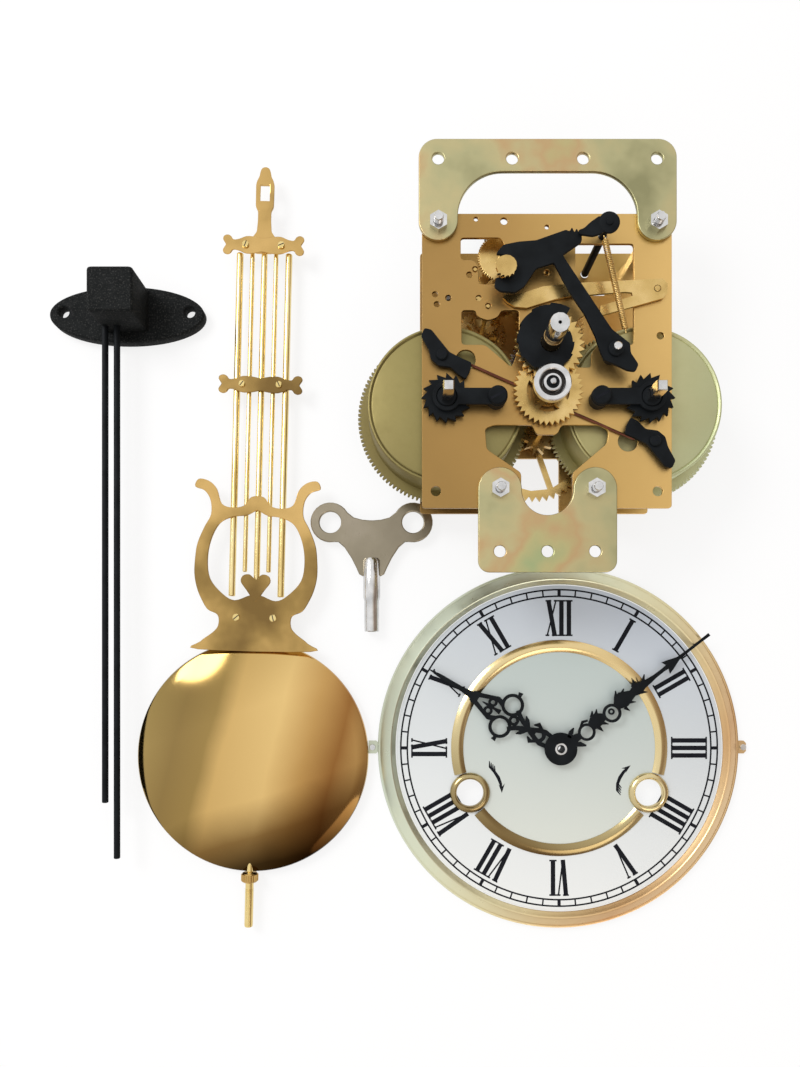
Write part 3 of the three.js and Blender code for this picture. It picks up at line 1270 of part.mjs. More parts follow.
// The lyre: two curled horns joined by a crossbar, a heart in its opening and a flared foot over the bob's edge
const lyreOuterShares = [
  [0.275, 0], [0.262, 0.04], [0.2, 0.085], [0.178, 0.12], [0.178, 0.18], [0.24, 0.195], [0.258, 0.25],
  [0.28, 0.28], [0.3, 0.36], [0.3, 0.44], [0.29, 0.51], [0.255, 0.6], [0.225, 0.66], [0.23, 0.73], [0.26, 0.78],
  [0.3, 0.8], [0.29, 0.84], [0.24, 0.83], [0.2, 0.79], [0.175, 0.71], [0.12, 0.695], [0.06, 0.71], [0.03, 0.76],
];
const lyreHoleShares = [
  [0.025, 0.27], [0.1, 0.24], [0.16, 0.27], [0.23, 0.35], [0.24, 0.45], [0.225, 0.54], [0.18, 0.63], [0.12, 0.655],
  [0.05, 0.665], [0, 0.695],
];
const heartShares = [[0.02, 0.25], [0.045, 0.3], [0.07, 0.335], [0.06, 0.365], [0.03, 0.37], [0.006, 0.352]];
const [screwAcrossShare, screwUpShare, screwRadiusShare] = [0.09, 0.16, 0.018];

function mirrored(halfShares, span, foot = 0) {
  const left = halfShares.map(([u, v]) => [-u, v]).reverse();
  return new THREE.Shape([...halfShares, ...left].map(([u, v]) => new THREE.Vector2(u * span, foot + v * span)));
}

function lyrePiece() {
  const { foot, span, thickness } = lyre;
  const bottom = bowHeight;
  const top = bottom + thickness;
  const body = prism(mirrored(lyreOuterShares, span, foot), bottom, top);
  const opening = prism(mirrored(lyreHoleShares, span, foot), bottom - overrun, top + overrun);
  const heart = prism(mirrored(heartShares, span, foot), bottom, top);
  const screws = [-1, 1].map((side) => drumAt({ x: side * screwAcrossShare * span, y: foot + screwUpShare * span },
    screwRadiusShare * span, bottom, top + thickness / 2, 10));
  return join(cut(body, opening), heart, ...screws);
}
pendulum.add(mesh("lyre", lyrePiece(), polishedBrass));

// The bob slides on its rod and rests on the rating nut
const bobRod = { radius: 2, above: 19, below: 27, height: 5.2 };
const nut = { radius: 4, length: 4.4, gap: 0.4 };

function bobPiece() {
  const b = bob;
  const crown = crownShares.map(([r, rise]) => [b.radius * r, b.edge + (b.crown - b.edge) * rise]);
  const body = turned([
    [0, 0], [b.radius - b.chamfer, 0], [b.radius, b.chamfer], [b.radius, b.edge - b.bezel], [b.radius - b.bezel, b.edge],
    ...crown, [0, b.crown],
  ], 40);
  const channel = rodAlongY(b.channel, -b.radius - overrun, b.radius + overrun, bobRod.height, 10);
  return cut(body, channel);
}
pendulum.add(mesh("bob", bobPiece(), polishedBrass));
const bobRodPiece = rodAlongY(bobRod.radius, -bob.radius - bobRod.below, bob.radius + bobRod.above, bobRod.height);
pendulum.add(mesh("bob_rod", bobRodPiece, polishedBrass));
const nutTop = -bob.radius - nut.gap;
const nutBlank = drum(nut.radius, 0, nut.length, 12);
const nutBore = drum(bobRod.radius + runningGap, -overrun, nut.length + overrun, 10);
const nutPiece = cut(nutBlank, nutBore).rotate([-90, 0, 0]).translate([0, nutTop - nut.length, bobRod.height]);
pendulum.add(mesh("rating_nut", nutPiece, polishedBrass));

// Winding key: a two-winged plate on a hollow stem with a square socket
const key = new THREE.Group();
key.position.set(keyPlace.x, keyPlace.y, 0);
const wing = { reach: 20.4, y: 17, outer: 9.8, hole: 5.3, thickness: 2.2, height: 2.9 };
const stem = { radius: 4.2, tip: 3.6, bottom: -37, top: 4, socket: squareSide + seatGap, depth: 14, taperShare: 0.6 };

const wingShares = [
  [0.41, -0.5], [0.46, -0.1], [0.6, 0.2], [0.85, 0.37], [1.1, 0.36], [0.92, 1.28], [0.7, 1.1], [0.42, 0.94],
  [0.15, 0.88],
];

function keyPiece() {
  const loops = [-1, 1].map((side) => ({ x: side * wing.reach, y: wing.y }));
  const top = wing.height + wing.thickness;
  const blade = prism(mirrored(wingShares, wing.reach), wing.height, top);
  const rounds = loops.map((place) => drumAt(place, wing.outer, wing.height, top, 20));
  const holes = loops.map((place) => drumAt(place, wing.hole, wing.height - overrun, top + overrun, 16));
  const shaft = turned([
    [0, 0], [stem.radius, 0], [stem.radius, (stem.top - stem.bottom) * stem.taperShare], [stem.tip, stem.top - stem.bottom],
    [0, stem.top - stem.bottom],
  ], 12).rotate([90, 0, 0]).translate([0, stem.top, stem.radius]);
  const socket = box(stem.socket, stem.socket, -overrun, stem.depth).rotate([-90, 0, 0])
    .translate([0, stem.bottom, stem.radius]);
  return cut(join(blade, ...rounds, shaft), ...holes, socket);
}
key.add(mesh("winding_key", keyPiece(), steel));

// Rod gong: a cast block on its lens-shaped foot, with two rods cast into it
const gong = new THREE.Group();
gong.position.set(gongPlace.x, gongPlace.y, 0);
const gongFoot = { half: 39.2, y: -1, height: 13.8, thickness: 6, tip: 6, flatShare: 0.6, hole: 2.4, holeX: 32, holeY: -4 };
const gongBlock = { width: 24, depth: 23, height: 28, y: 2 };
const gongRods = [
  ["gong_rod_short", -8.1, -240, 1.5],
  ["gong_rod_long", -2.4, -267, 1.5],
];
const gongRodHeight = 12;

function gongPiece() {
  const lens = new THREE.Shape();
  const f = gongFoot;
  const flat = gongBlock.width * f.flatShare;
  lens.absarc(f.half - f.tip, f.y, f.tip, -Math.PI / 3, Math.PI / 3, false);
  lens.lineTo(flat, f.y + f.height);
  lens.lineTo(-flat, f.y + f.height);
  lens.absarc(f.tip - f.half, f.y, f.tip, (2 * Math.PI) / 3, (4 * Math.PI) / 3, false);
  lens.lineTo(-flat, f.y - f.height);
  lens.lineTo(flat, f.y - f.height);
  lens.closePath();
  const foot = prism(lens, 0, f.thickness, 5);
  const slope = new THREE.Shape([
    new THREE.Vector2(-gongBlock.width / 2, 0), new THREE.Vector2(gongBlock.width, 0),
    new THREE.Vector2(gongBlock.width / 2, gongBlock.height), new THREE.Vector2(-gongBlock.width / 2, gongBlock.height),
  ]);
  const tower = prism(slope, 0, gongBlock.depth).rotate([90, 0, 0])
    .translate([0, gongBlock.y + gongBlock.depth / 2, 0]);
  const holes = [-1, 1].map((side) => drumAt({ x: side * f.holeX, y: f.holeY }, f.hole, -overrun, f.thickness + overrun, 12));
  const sockets = gongRods.map(([, x, , radius]) => rodAlongY(radius + seatGap / 2, gongBlock.y - gongBlock.depth,
    gongBlock.y, gongRodHeight).translate([x, 0, 0]));
  return cut(join(foot, tower), ...holes, ...sockets);
}
gong.add(mesh("gong_block", gongPiece(), castIron));
for (const [name, x, end, radius] of gongRods) {
  gong.add(mesh(name, rodAlongY(radius, end, gongBlock.y - seatGap, gongRodHeight), black, { x, y: 0 }));
}

// The whole set, moved so that the middle of its box's floor is the origin
const set = new THREE.Group();
set.add(movement, dial, pendulum, key, gong);
set.updateMatrixWorld(true);
const bounds = new THREE.Box3().setFromObject(set, true);
const middle = bounds.getCenter(new THREE.Vector3());
set.position.set(-middle.x, -middle.y, -bounds.min.z);

export default set;
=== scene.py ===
# The dressed clock set: finishes for every CAD node, bevelled and smooth stand-ins for the faceted
# sheets and round pieces, the dial's figures, the hands, and the small trim that the solids leave out.
from math import acos, atan2, cos, degrees, hypot, pi, radians, sin

import bmesh
import bpy
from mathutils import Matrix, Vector


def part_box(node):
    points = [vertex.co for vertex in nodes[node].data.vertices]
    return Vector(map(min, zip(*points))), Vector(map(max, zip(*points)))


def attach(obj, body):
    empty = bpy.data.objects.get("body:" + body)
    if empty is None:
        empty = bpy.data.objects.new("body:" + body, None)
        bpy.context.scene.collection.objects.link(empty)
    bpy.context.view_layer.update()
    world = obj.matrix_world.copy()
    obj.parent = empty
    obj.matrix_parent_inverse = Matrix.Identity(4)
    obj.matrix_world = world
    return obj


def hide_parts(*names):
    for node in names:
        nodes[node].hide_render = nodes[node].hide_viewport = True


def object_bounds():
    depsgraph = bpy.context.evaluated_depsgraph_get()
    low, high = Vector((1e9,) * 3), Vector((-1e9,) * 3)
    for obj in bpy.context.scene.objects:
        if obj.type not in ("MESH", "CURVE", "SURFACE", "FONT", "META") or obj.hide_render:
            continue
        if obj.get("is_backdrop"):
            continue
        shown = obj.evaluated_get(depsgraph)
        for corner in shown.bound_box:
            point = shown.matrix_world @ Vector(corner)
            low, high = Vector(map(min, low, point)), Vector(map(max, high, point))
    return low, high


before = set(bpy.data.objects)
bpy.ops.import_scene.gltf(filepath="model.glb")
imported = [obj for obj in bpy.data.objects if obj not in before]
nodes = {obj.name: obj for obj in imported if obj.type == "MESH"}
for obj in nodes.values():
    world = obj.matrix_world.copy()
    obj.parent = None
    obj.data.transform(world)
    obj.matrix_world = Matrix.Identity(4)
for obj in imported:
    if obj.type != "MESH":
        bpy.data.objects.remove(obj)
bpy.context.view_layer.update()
MM = 0.001


def centre(node):
    low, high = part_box(node)
    return (low + high) / 2 / MM


def at(item, x, y):
    return item + Vector((x, y))


# Places of the set's items in millimetres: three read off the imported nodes, the rest set off from them
MOVEMENT = centre("back_plate").xy
DIAL = centre("dial_face").xy
BOB = centre("bob").xy
NADIR = at(MOVEMENT, -64.1, -130.5)
KEY = at(NADIR, -14, 51)
GONG = at(NADIR, -134.5, 171)
HAND_ARBOR = at(MOVEMENT, 0, 4.7)
MOTION = at(MOVEMENT, 0, -13.9)
RACK_STUD = at(MOVEMENT, 27.5, 1.6)
HOOK_ARBOR = at(MOVEMENT, 24.3, 54.4)
GATHERING = at(MOVEMENT, -19.3, 35.5)
BARRELS = {"strike": at(MOVEMENT, -44, -17.3), "time": at(MOVEMENT, 44, -17.3)}
HOLE_SIDE, HOLE_DROP = 44, 22
GROMMETS = {"strike": at(DIAL, -HOLE_SIDE, -HOLE_DROP), "time": at(DIAL, HOLE_SIDE, -HOLE_DROP)}
PILLARS = [MOVEMENT + Vector(place) for place in ((-47.5, 59), (47.5, 59), (-20.7, -56.2), (20.7, -56.2))]

# The pendulum's lean in radians, and the bob's radius
LEAN = -0.0246
BOB_RADIUS = 57

# Levels in millimetres above the ground
BACK_LOW, BACK_TOP = 14, 15.6
PLATE_LOW, PLATE_TOP = 45.6, 47.2
BRACKET_TOP = 49.2
FACE_TOP = 4.8


# Materials: a colour ramp over noise or over a direction, with roughness and relief from finer noise; a ramp
# over a direction paints light and shade falling across a piece
def added(tree, kind, **inputs):
    node = tree.nodes.new("ShaderNode" + kind)
    for name, value in inputs.items():
        node.inputs[name].default_value = value
    return node


def ramp(tree, factor, stops):
    node = added(tree, "ValToRGB")
    elements = node.color_ramp.elements
    while len(elements) < len(stops):
        elements.new(0.5)
    for element, (position, colour) in zip(elements, stops):
        element.position = position
        element.color = (*colour, 1)
    tree.links.new(factor, node.inputs["Fac"])
    return node.outputs["Color"]


def object_place(tree, stretch=None):
    place = added(tree, "TexCoord")
    vector = place.outputs["Object"]
    if stretch:
        mapping = added(tree, "Mapping", Scale=stretch)
        tree.links.new(vector, mapping.inputs["Vector"])
        vector = mapping.outputs["Vector"]
    return vector


def noise(tree, scale, detail=4, stretch=None):
    texture = added(tree, "TexNoise", Scale=scale, Detail=detail)
    tree.links.new(object_place(tree, stretch), texture.inputs["Vector"])
    return texture.outputs["Fac"]


def math_node(tree, operation, *values):
    node = added(tree, "Math")
    node.operation = operation
    for socket, value in zip(node.inputs, values):
        if isinstance(value, (int, float)):
            socket.default_value = value
        else:
            tree.links.new(value, socket)
    return node.outputs[0]


def dot_product(tree, vector, direction):
    dot = added(tree, "VectorMath")
    dot.operation = "DOT_PRODUCT"
    dot.inputs[1].default_value = direction
    tree.links.new(vector, dot.inputs[0])
    return dot.outputs["Value"]


def along(tree, direction, middle, reach, waver):
    """0 to 1 along a direction on the piece, from one edge to the other, wavering with noise."""
    value = dot_product(tree, object_place(tree), (*direction, 0))
    offset = (direction[0] * middle.x + direction[1] * middle.y) * MM
    spread = added(tree, "MapRange")
    spread.inputs["From Min"].default_value = offset - reach * MM
    spread.inputs["From Max"].default_value = offset + reach * MM
    tree.links.new(value, spread.inputs["Value"])
    shift = math_node(tree, "MULTIPLY_ADD", noise(tree, 14), waver, -waver / 2)
    return math_node(tree, "ADD", spread.outputs["Result"], shift)


def shaded(name, colour, roughness, metallic, grain, bump, bump_scale, specular=0.5):
    """A material whose colour comes from a function of its node tree."""
    material = bpy.data.materials.new(name)
    material.use_nodes = True
    tree = material.node_tree
    shader = tree.nodes["Principled BSDF"]
    shader.inputs["Metallic"].default_value = metallic
    shader.inputs["Specular IOR Level"].default_value = specular
    tree.links.new(colour(tree), shader.inputs["Base Color"])
    spread = added(tree, "MapRange")
    spread.inputs["To Min"].default_value = roughness * 0.75
    spread.inputs["To Max"].default_value = min(1, roughness * 1.3)
    tree.links.new(noise(tree, bump_scale / 4, 6, grain), spread.inputs["Value"])
    tree.links.new(spread.outputs["Result"], shader.inputs["Roughness"])
    if bump:
        relief = added(tree, "Bump", Strength=bump, Distance=0.0002)
        tree.links.new(noise(tree, bump_scale, 6, grain), relief.inputs["Height"])
        tree.links.new(relief.outputs["Normal"], shader.inputs["Normal"])
    return material


def finish(name, stops, roughness, metallic, scale=60, grain=None, bump=0, bump_scale=900, **rest):
    def colour(tree):
        return ramp(tree, noise(tree, scale), stops)
    return shaded(name, colour, roughness, metallic, grain, bump, bump_scale, **rest)


# Colour ramped from one edge of the piece to the other: painted light and shade falling across it
def painted_light_ramp(name, direction, middle, reach, stops, roughness, metallic, waver=0.12, bump=0, bump_scale=900,
           grain=None):
    def colour(tree):
        return ramp(tree, along(tree, direction, middle, reach, waver), stops)
    return shaded(name, colour, roughness, metallic, grain, bump, bump_scale)


# Plate brass with painted light: darker at the left and lighter at the right, as light falls across the
# plates
PLATE = painted_light_ramp(
    "plate_brass", (0.99, 0.1), MOVEMENT, 56,
    [(0, (0.34, 0.205, 0.068)), (0.35, (0.44, 0.265, 0.088)), (0.6, (0.55, 0.35, 0.12)),
     (1, (0.74, 0.49, 0.18))],
    0.36, 1, 0.55, 0.16, 700, (1, 16, 1),
)
WHEEL = finish(
    "wheel_brass",
    [(0.3, (0.46, 0.3, 0.1)), (0.5, (0.64, 0.44, 0.16)), (0.72, (0.78, 0.56, 0.24))],
    0.27, 1, 90, None, 0.06, 1200,
)
PIPE = finish("pipe_brass", [(0.35, (0.33, 0.21, 0.09)), (0.65, (0.48, 0.34, 0.17))], 0.2, 1, 300)
# Pendulum brass whose dark and bright patches of large noise are painted reflections
GOLD = finish(
    "pendulum_brass",
    [(0.36, (0.22, 0.135, 0.045)), (0.45, (0.36, 0.23, 0.075)), (0.53, (0.58, 0.375, 0.13)),
     (0.64, (0.72, 0.47, 0.175))],
    0.14, 1, 19, None, 0.03, 500,
)
ROD = finish(
    "rod_brass",
    [(0.3, (0.62, 0.46, 0.17)), (0.5, (0.8, 0.62, 0.26)), (0.7, (0.9, 0.76, 0.42))],
    0.16, 1, 30, None, 0.02, 500,
)
ZINC = finish(
    "yellow_zinc",
    [(0.3, (0.3, 0.285, 0.15)), (0.42, (0.45, 0.42, 0.23)), (0.5, (0.52, 0.45, 0.24)),
     (0.57, (0.53, 0.37, 0.19)), (0.64, (0.5, 0.45, 0.22)), (0.74, (0.38, 0.43, 0.22))],
    0.38, 1, 24, None, 0.1,
)
# Barrel zinc with painted shade at the left and painted light at the right, as light falls across the drums
BARREL = painted_light_ramp(
    "barrel_zinc", (1, 0), MOVEMENT, 84,
    [(0, (0.22, 0.18, 0.075)), (0.3, (0.27, 0.23, 0.09)), (0.6, (0.4, 0.36, 0.17)),
     (0.8, (0.52, 0.5, 0.28)), (1, (0.56, 0.6, 0.37))],
    0.5, 1, 0.5, 0.1,
)
BLACK = finish(
    "black_steel",
    [(0.3, (0.0035, 0.0045, 0.0055)), (0.7, (0.008, 0.01, 0.012))],
    0.5, 0, 120, None, 0.1, 1500, specular=0.09,
)
STEEL = finish(
    "bright_steel", [(0.3, (0.52, 0.52, 0.52)), (0.7, (0.76, 0.75, 0.74))], 0.18, 1, 160, None, 0.05, 1600,
)
NICKEL = finish(
    "nickel",
    [(0.3, (0.25, 0.215, 0.155)), (0.55, (0.3, 0.26, 0.19)), (0.75, (0.36, 0.31, 0.24))],
    0.3, 1, 40, (6, 1, 1), 0.08, 800,
)
DARK = finish("plain_steel", [(0.3, (0.1, 0.09, 0.08)), (0.7, (0.2, 0.18, 0.16))], 0.4, 1, 90, None, 0.1)
COPPER = finish("copper_wire", [(0.3, (0.09, 0.028, 0.016)), (0.7, (0.17, 0.055, 0.03))], 0.35, 0.8, 200)
# Dial ink for the printed figures, also used for the painted shade in screw slots
INK_AND_SLOT_SHADE = finish("dial_ink_and_slot_shade", [(0.3, (0.005, 0.006, 0.009)), (0.7, (0.01, 0.011, 0.015))], 0.45, 0, 200,
             specular=0.08)
# Black cast iron with a few lighter flecks in fine noise, painted glints
CAST = finish(
    "cast_black",
    [(0.4, (0.003, 0.004, 0.0045)), (0.56, (0.006, 0.007, 0.007)), (0.66, (0.03, 0.03, 0.029))],
    0.7, 0, 1300, None, 1, 1100, specular=0.12,
)
SHADE = finish("deep_shade", [(0.3, (0.01, 0.008, 0.006)), (0.7, (0.022, 0.016, 0.01))], 0.7, 0, 200)
# Dial rim brass with a painted reflection, running from pale green-gold at the upper left to gold and copper
# towards the lower right
RIM = painted_light_ramp(
    "dial_rim_brass", (0.86, -0.51), DIAL, 90,
    [(0, (0.5, 0.52, 0.4)), (0.12, (0.6, 0.66, 0.54)), (0.34, (0.7, 0.72, 0.54)),
     (0.55, (0.76, 0.69, 0.43)), (0.72, (0.74, 0.56, 0.3)), (0.88, (0.62, 0.38, 0.18)),
     (1, (0.76, 0.56, 0.31))],
    0.3, 1,
)
# Inner ring brass with painted shade at its lower side and painted light at its upper side
RING = painted_light_ramp(
    "inner_ring_brass", (0.35, 0.94), DIAL, 54,
    [(0, (0.2, 0.13, 0.05)), (0.2, (0.42, 0.33, 0.16)), (0.5, (0.7, 0.58, 0.32)), (1, (0.78, 0.6, 0.3))],
    0.2, 1, 0.3, 0.03, 1400,
)
# Silvered face with painted light: darker and bluer at the top, lighter towards the bottom
FACE = painted_light_ramp(
    "silvered_face", (-0.25, -0.97), DIAL, 80,
    [(0, (0.47, 0.52, 0.6)), (0.35, (0.56, 0.6, 0.63)), (0.7, (0.68, 0.71, 0.72)), (1, (0.74, 0.76, 0.76))],
    0.4, 0.2, 0.1, 0.03, 2000,
)
# Silvered centre with painted light: darker at the top, lighter towards the bottom
CENTRE = painted_light_ramp(
    "silvered_centre", (-0.1, -0.99), DIAL, 48,
    [(0, (0.45, 0.52, 0.51)), (0.5, (0.52, 0.57, 0.55)), (1, (0.62, 0.65, 0.6))],
    0.4, 0.2, 0.1, 0.03, 2000,
)


def painted_bob_sheen(tree):
    """A soft generic painted reflection: olive at one side, pale gold in the middle, brown at the other, and
    painted shade that darkens it below.
    """
    across = ramp(tree, along(tree, (0.97, -0.24), BOB, BOB_RADIUS, 0.1), [
        (0, (0.4, 0.28, 0.1)), (0.16, (0.3, 0.2, 0.07)), (0.3, (0.36, 0.24, 0.08)),
        (0.38, (0.68, 0.45, 0.165)), (0.58, (0.8, 0.55, 0.22)), (0.72, (0.56, 0.33, 0.11)),
        (0.84, (0.36, 0.17, 0.05)), (0.95, (0.7, 0.45, 0.17)), (1, (0.84, 0.62, 0.28))])
    painted_shade_below = ramp(tree, along(tree, (0.34, -0.94), BOB, BOB_RADIUS, 0.14), [
        (0, (0.8, 0.8, 0.76)), (0.3, (1, 1, 1)), (0.66, (0.92, 0.9, 0.86)), (0.82, (0.3, 0.25, 0.2)),
        (0.95, (0.06, 0.05, 0.04))])
    mix = added(tree, "Mix")
    mix.data_type = "RGBA"
    mix.blend_type = "MULTIPLY"
    mix.inputs["Factor"].default_value = 1
    colours = [socket for socket in mix.inputs if socket.type == "RGBA"]
    tree.links.new(across, colours[0])
    tree.links.new(painted_shade_below, colours[1])
    return next(socket for socket in mix.outputs if socket.type == "RGBA")


# The bob's brass, coloured with its painted reflection and painted shade
MIRROR = shaded("bob_brass", painted_bob_sheen, 0.1, 1, None, 0.02, 60)

FINISHES = [
    (PLATE, "front_plate back_plate"),
    (WHEEL, "time_second_wheel time_third_wheel escape_wheel minute_wheel hour_wheel pin_wheel "
            "gathering_wheel fly lifting_lever rack_spring"),
    (ZINC, "top_bracket bottom_bracket"),
    (BARREL, "strike_barrel time_barrel"),
    (STEEL, "pillar_top_left pillar_top_right pillar_bottom_left pillar_bottom_right hand_arbor "
            "motion_stud rack_stud strike_winding_arbor time_winding_arbor"),
    (BLACK, "strike_bridge time_bridge strike_click time_click snail rack_lever rack_hook "
            "suspension_cock hour_hand minute_hand gong_rod_short gong_rod_long"),
    (COPPER, "strike_click_spring time_click_spring"),
    (DARK, "verge_and_crutch hammer"),
    (RIM, "dial_rim"),
    (RING, "dial_inner_ring dial_inner_ring_lower strike_hole_grommet time_hole_grommet"),
    (FACE, "dial_face"),
    (GOLD, "pendulum_hook pendulum_bow lyre rating_nut"),
    (ROD, "bob_rod grid_rod_outer_left grid_rod_inner_left grid_rod_middle grid_rod_inner_right "
          "grid_rod_outer_right"),
    (MIRROR, "bob"),
    (NICKEL, "winding_key"),
    (CAST, "gong_block"),
]
for material, names in FINISHES:
    for name in names.split():
        data = nodes[name].data
        data.materials.clear()
        data.materials.append(material)


def placed(name, data):
    obj = bpy.data.objects.new(name, data)
    bpy.context.scene.collection.objects.link(obj)
    return obj


def carried(obj, material, body, replaces):
    obj.data.materials.append(material)
    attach(obj, body)
    if replaces:
        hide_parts(*replaces)


# Mesh makers: points in millimetres, pieces in metres
def piece(name, bm, material, body="base", replaces=(), smooth=True):
    data = bpy.data.meshes.new(name)
    bmesh.ops.recalc_face_normals(bm, faces=bm.faces)
    bm.to_mesh(data)
    bm.free()
    if smooth:
        data.polygons.foreach_set("use_smooth", [True] * len(data.polygons))
        data.set_sharp_from_angle(angle=radians(35))
    carried(placed(name, data), material, body, replaces)


def vertex(bm, x, y, z):
    return bm.verts.new((x * MM, y * MM, z * MM))


def around(place, radius, angle):
    return place[0] + radius * cos(angle), place[1] + radius * sin(angle)


def add_skin(bm, rows):
    """Quads between rows of vertices, each row a closed loop."""
    for low, high in zip(rows, rows[1:]):
        for k in range(len(low)):
            j = (k + 1) % len(low)
            bm.faces.new((low[k], low[j], high[j], high[k]))


def add_lathe(bm, profile, place, sides=96, closed=True, phase=0):
    rings = []
    angles = [2 * pi * k / sides + phase for k in range(sides)]
    for radius, z in profile:
        if radius < 1e-6:
            rings.append([vertex(bm, *place, z)])
            continue
        rings.append([vertex(bm, *around(place, radius, angle), z) for angle in angles])
    pairs = list(zip(rings, rings[1:]))
    if closed:
        pairs.append((rings[-1], rings[0]))
    for low, high in pairs:
        if len(low) == 1 and len(high) == 1:
            continue
        for k in range(sides):
            j = (k + 1) % sides
            if len(low) == 1:
                bm.faces.new((low[0], high[j], high[k]))
            elif len(high) == 1:
                bm.faces.new((low[k], low[j], high[0]))
            else:
                bm.faces.new((low[k], low[j], high[j], high[k]))


def turned_piece(name, profile, place, material, body="base", replaces=(), sides=64, closed=False):
    bm = bmesh.new()
    add_lathe(bm, profile, place, sides, closed)
    piece(name, bm, material, body, replaces)


def add_prism(bm, points, low, high):
    bottom = [vertex(bm, x, y, low) for x, y in points]
    top = [vertex(bm, x, y, high) for x, y in points]
    bm.faces.new(bottom)
    bm.faces.new(top)
    add_skin(bm, [bottom, top])


def add_ring(bm, place, outer, inner, low, high, sides=40, edge=0.12):
    add_lathe(bm, [(inner, low), (outer, low), (outer, high - edge), (outer - edge, high),
                   (inner + edge, high), (inner, high - edge)], place, sides)


def add_disc(bm, place, radius, low, high, sides=32, edge=0.1):
    add_lathe(bm, [(0, low), (radius, low), (radius, high - edge), (radius - edge, high), (0, high)], place,
              sides, False)


def turned_points(points, place, angle=0):
    c, s = cos(angle), sin(angle)
    return [(place[0] + x * c - y * s, place[1] + x * s + y * c) for x, y in points]


def scaled(shares, span):
    return [(x * span, y * span) for x, y in shares]


def mirrored(half):
    return half + [(-x, y) for x, y in reversed(half)]


def arc(x, y, radius, first, last, steps=16):
    """Points round a place, with angles in degrees."""
    angles = [radians(first + (last - first) * k / steps) for k in range(steps + 1)]
    return [around((x, y), radius, angle) for angle in angles]


def circle(place, radius, sides=40):
    return [around(place, radius, 2 * pi * k / sides) for k in range(sides)]


def stroke(points, widths):
    left, right = [], []
    for i, (x, y) in enumerate(points):
        before = points[max(i - 1, 0)]
        after = points[min(i + 1, len(points) - 1)]
        run = Vector((after[0] - before[0], after[1] - before[1])).normalized()
        half = widths[i] / 2 if isinstance(widths, (list, tuple)) else widths / 2
        left.append((x - run.y * half, y + run.x * half))
        right.append((x + run.y * half, y - run.x * half))
    return left + right[::-1]


def smooth_loop(points, steps=4):
    out = []
    count = len(points)
    for i in range(count):
        a, b, c, d = (Vector(points[(i + k) % count]) for k in (-1, 0, 1, 2))
        for k in range(steps):
            t = k / steps
            bend = (2 * a - 5 * b + 4 * c - d) * t * t
            swing = (3 * b - a - 3 * c + d) * t ** 3
            p = 0.5 * (2 * b + (c - a) * t + bend + swing)
            out.append((p.x, p.y))
    return out


def rounded(points, radius, steps=4):
    """The outline with its corners rounded, each by no more than its own short edges allow."""
    out = []
    count = len(points)
    for i in range(count):
        before, corner, after = (Vector(points[(i + k) % count]) for k in (-1, 0, 1))
        back, ahead = before - corner, after - corner
        start = corner + back.normalized() * min(radius, back.length * 0.45)
        end = corner + ahead.normalized() * min(radius, ahead.length * 0.45)
        for k in range(steps + 1):
            t = k / steps
            p = start * (1 - t) ** 2 + corner * (2 * t * (1 - t)) + end * t * t
            out.append((p.x, p.y))
    return out


def sheet_cut(name, loops, low, high, material, body="base", replaces=(), edge=0.12):
    curve = bpy.data.curves.new(name, "CURVE")
    curve.dimensions = "2D"
    curve.fill_mode = "BOTH"
    curve.extrude = ((high - low) / 2 - edge) * MM
    curve.bevel_depth = edge * MM
    curve.offset = -edge * MM
    curve.bevel_resolution = 1
    for loop in loops:
        spline = curve.splines.new("POLY")
        spline.points.add(len(loop) - 1)
        for point, (x, y) in zip(spline.points, loop):
            point.co = (x * MM, y * MM, 0, 1)
        spline.use_cyclic_u = True
    obj = placed(name, curve)
    obj.location.z = (low + high) / 2 * MM
    carried(obj, material, body, replaces)


def add_screw(bm, slot_shades, place, radius, low, high, angle):
    add_disc(bm, place, radius, low, high, 28, 0.25)
    half = radius * 0.86
    c, s = cos(angle), sin(angle)
    line = [(place[0] - half * c, place[1] - half * s), (place[0] + half * c, place[1] + half * s)]
    # A dark bar across the head: painted shade in the screw's slot
    add_prism(slot_shades, stroke(line, radius * 0.26), high - 0.12, high + 0.03)


# Dial: rim, inner ring, grommets and face as smooth metal
bm = bmesh.new()
add_lathe(bm, [(89.5, 0), (89.5, 2.6), (89.2, 3.1), (88.7, 3.2), (88.3, 3.1), (87.9, 3.4), (83.6, 7.7),
               (83.2, 7.95), (82.8, 7.85), (82.4, 7.4), (81, 5.4), (80.75, 5.2), (80.65, 4.9), (83.2, 6.6),
               (88.3, 2.4), (88.5, 0)], DIAL, 180)
for side in (-1, 1):
    x = DIAL.x + side * 91.6
    add_prism(bm, [(x - 2.6, DIAL.y - 3.2), (x + 1.2, DIAL.y - 3.2), (x + 2.4, DIAL.y - 2),
                   (x + 2.4, DIAL.y + 2), (x + 1.2, DIAL.y + 3.2), (x - 2.6, DIAL.y + 3.2)], 0, 1)
piece("rim_of_dial", bm, RIM, replaces=("dial_rim",))

bm = bmesh.new()
for side in (-1, 1):
    add_disc(bm, (DIAL.x + side * 92.2, DIAL.y), 1.5, 1, 2.2, 24)
piece("dial_ear_screws", bm, STEEL)

FACE_EDGE, CENTRE_EDGE, HOLE_EDGE, PIPE_HOLE = 80.3, 48, 6.9, 5
face_loops = [circle(DIAL, FACE_EDGE, 180), circle(DIAL, PIPE_HOLE)]
face_loops += [circle(spot, HOLE_EDGE, 48) for spot in GROMMETS.values()]
sheet_cut("face_of_dial", face_loops, 4, FACE_TOP, FACE, replaces=("dial_face",), edge=0.05)

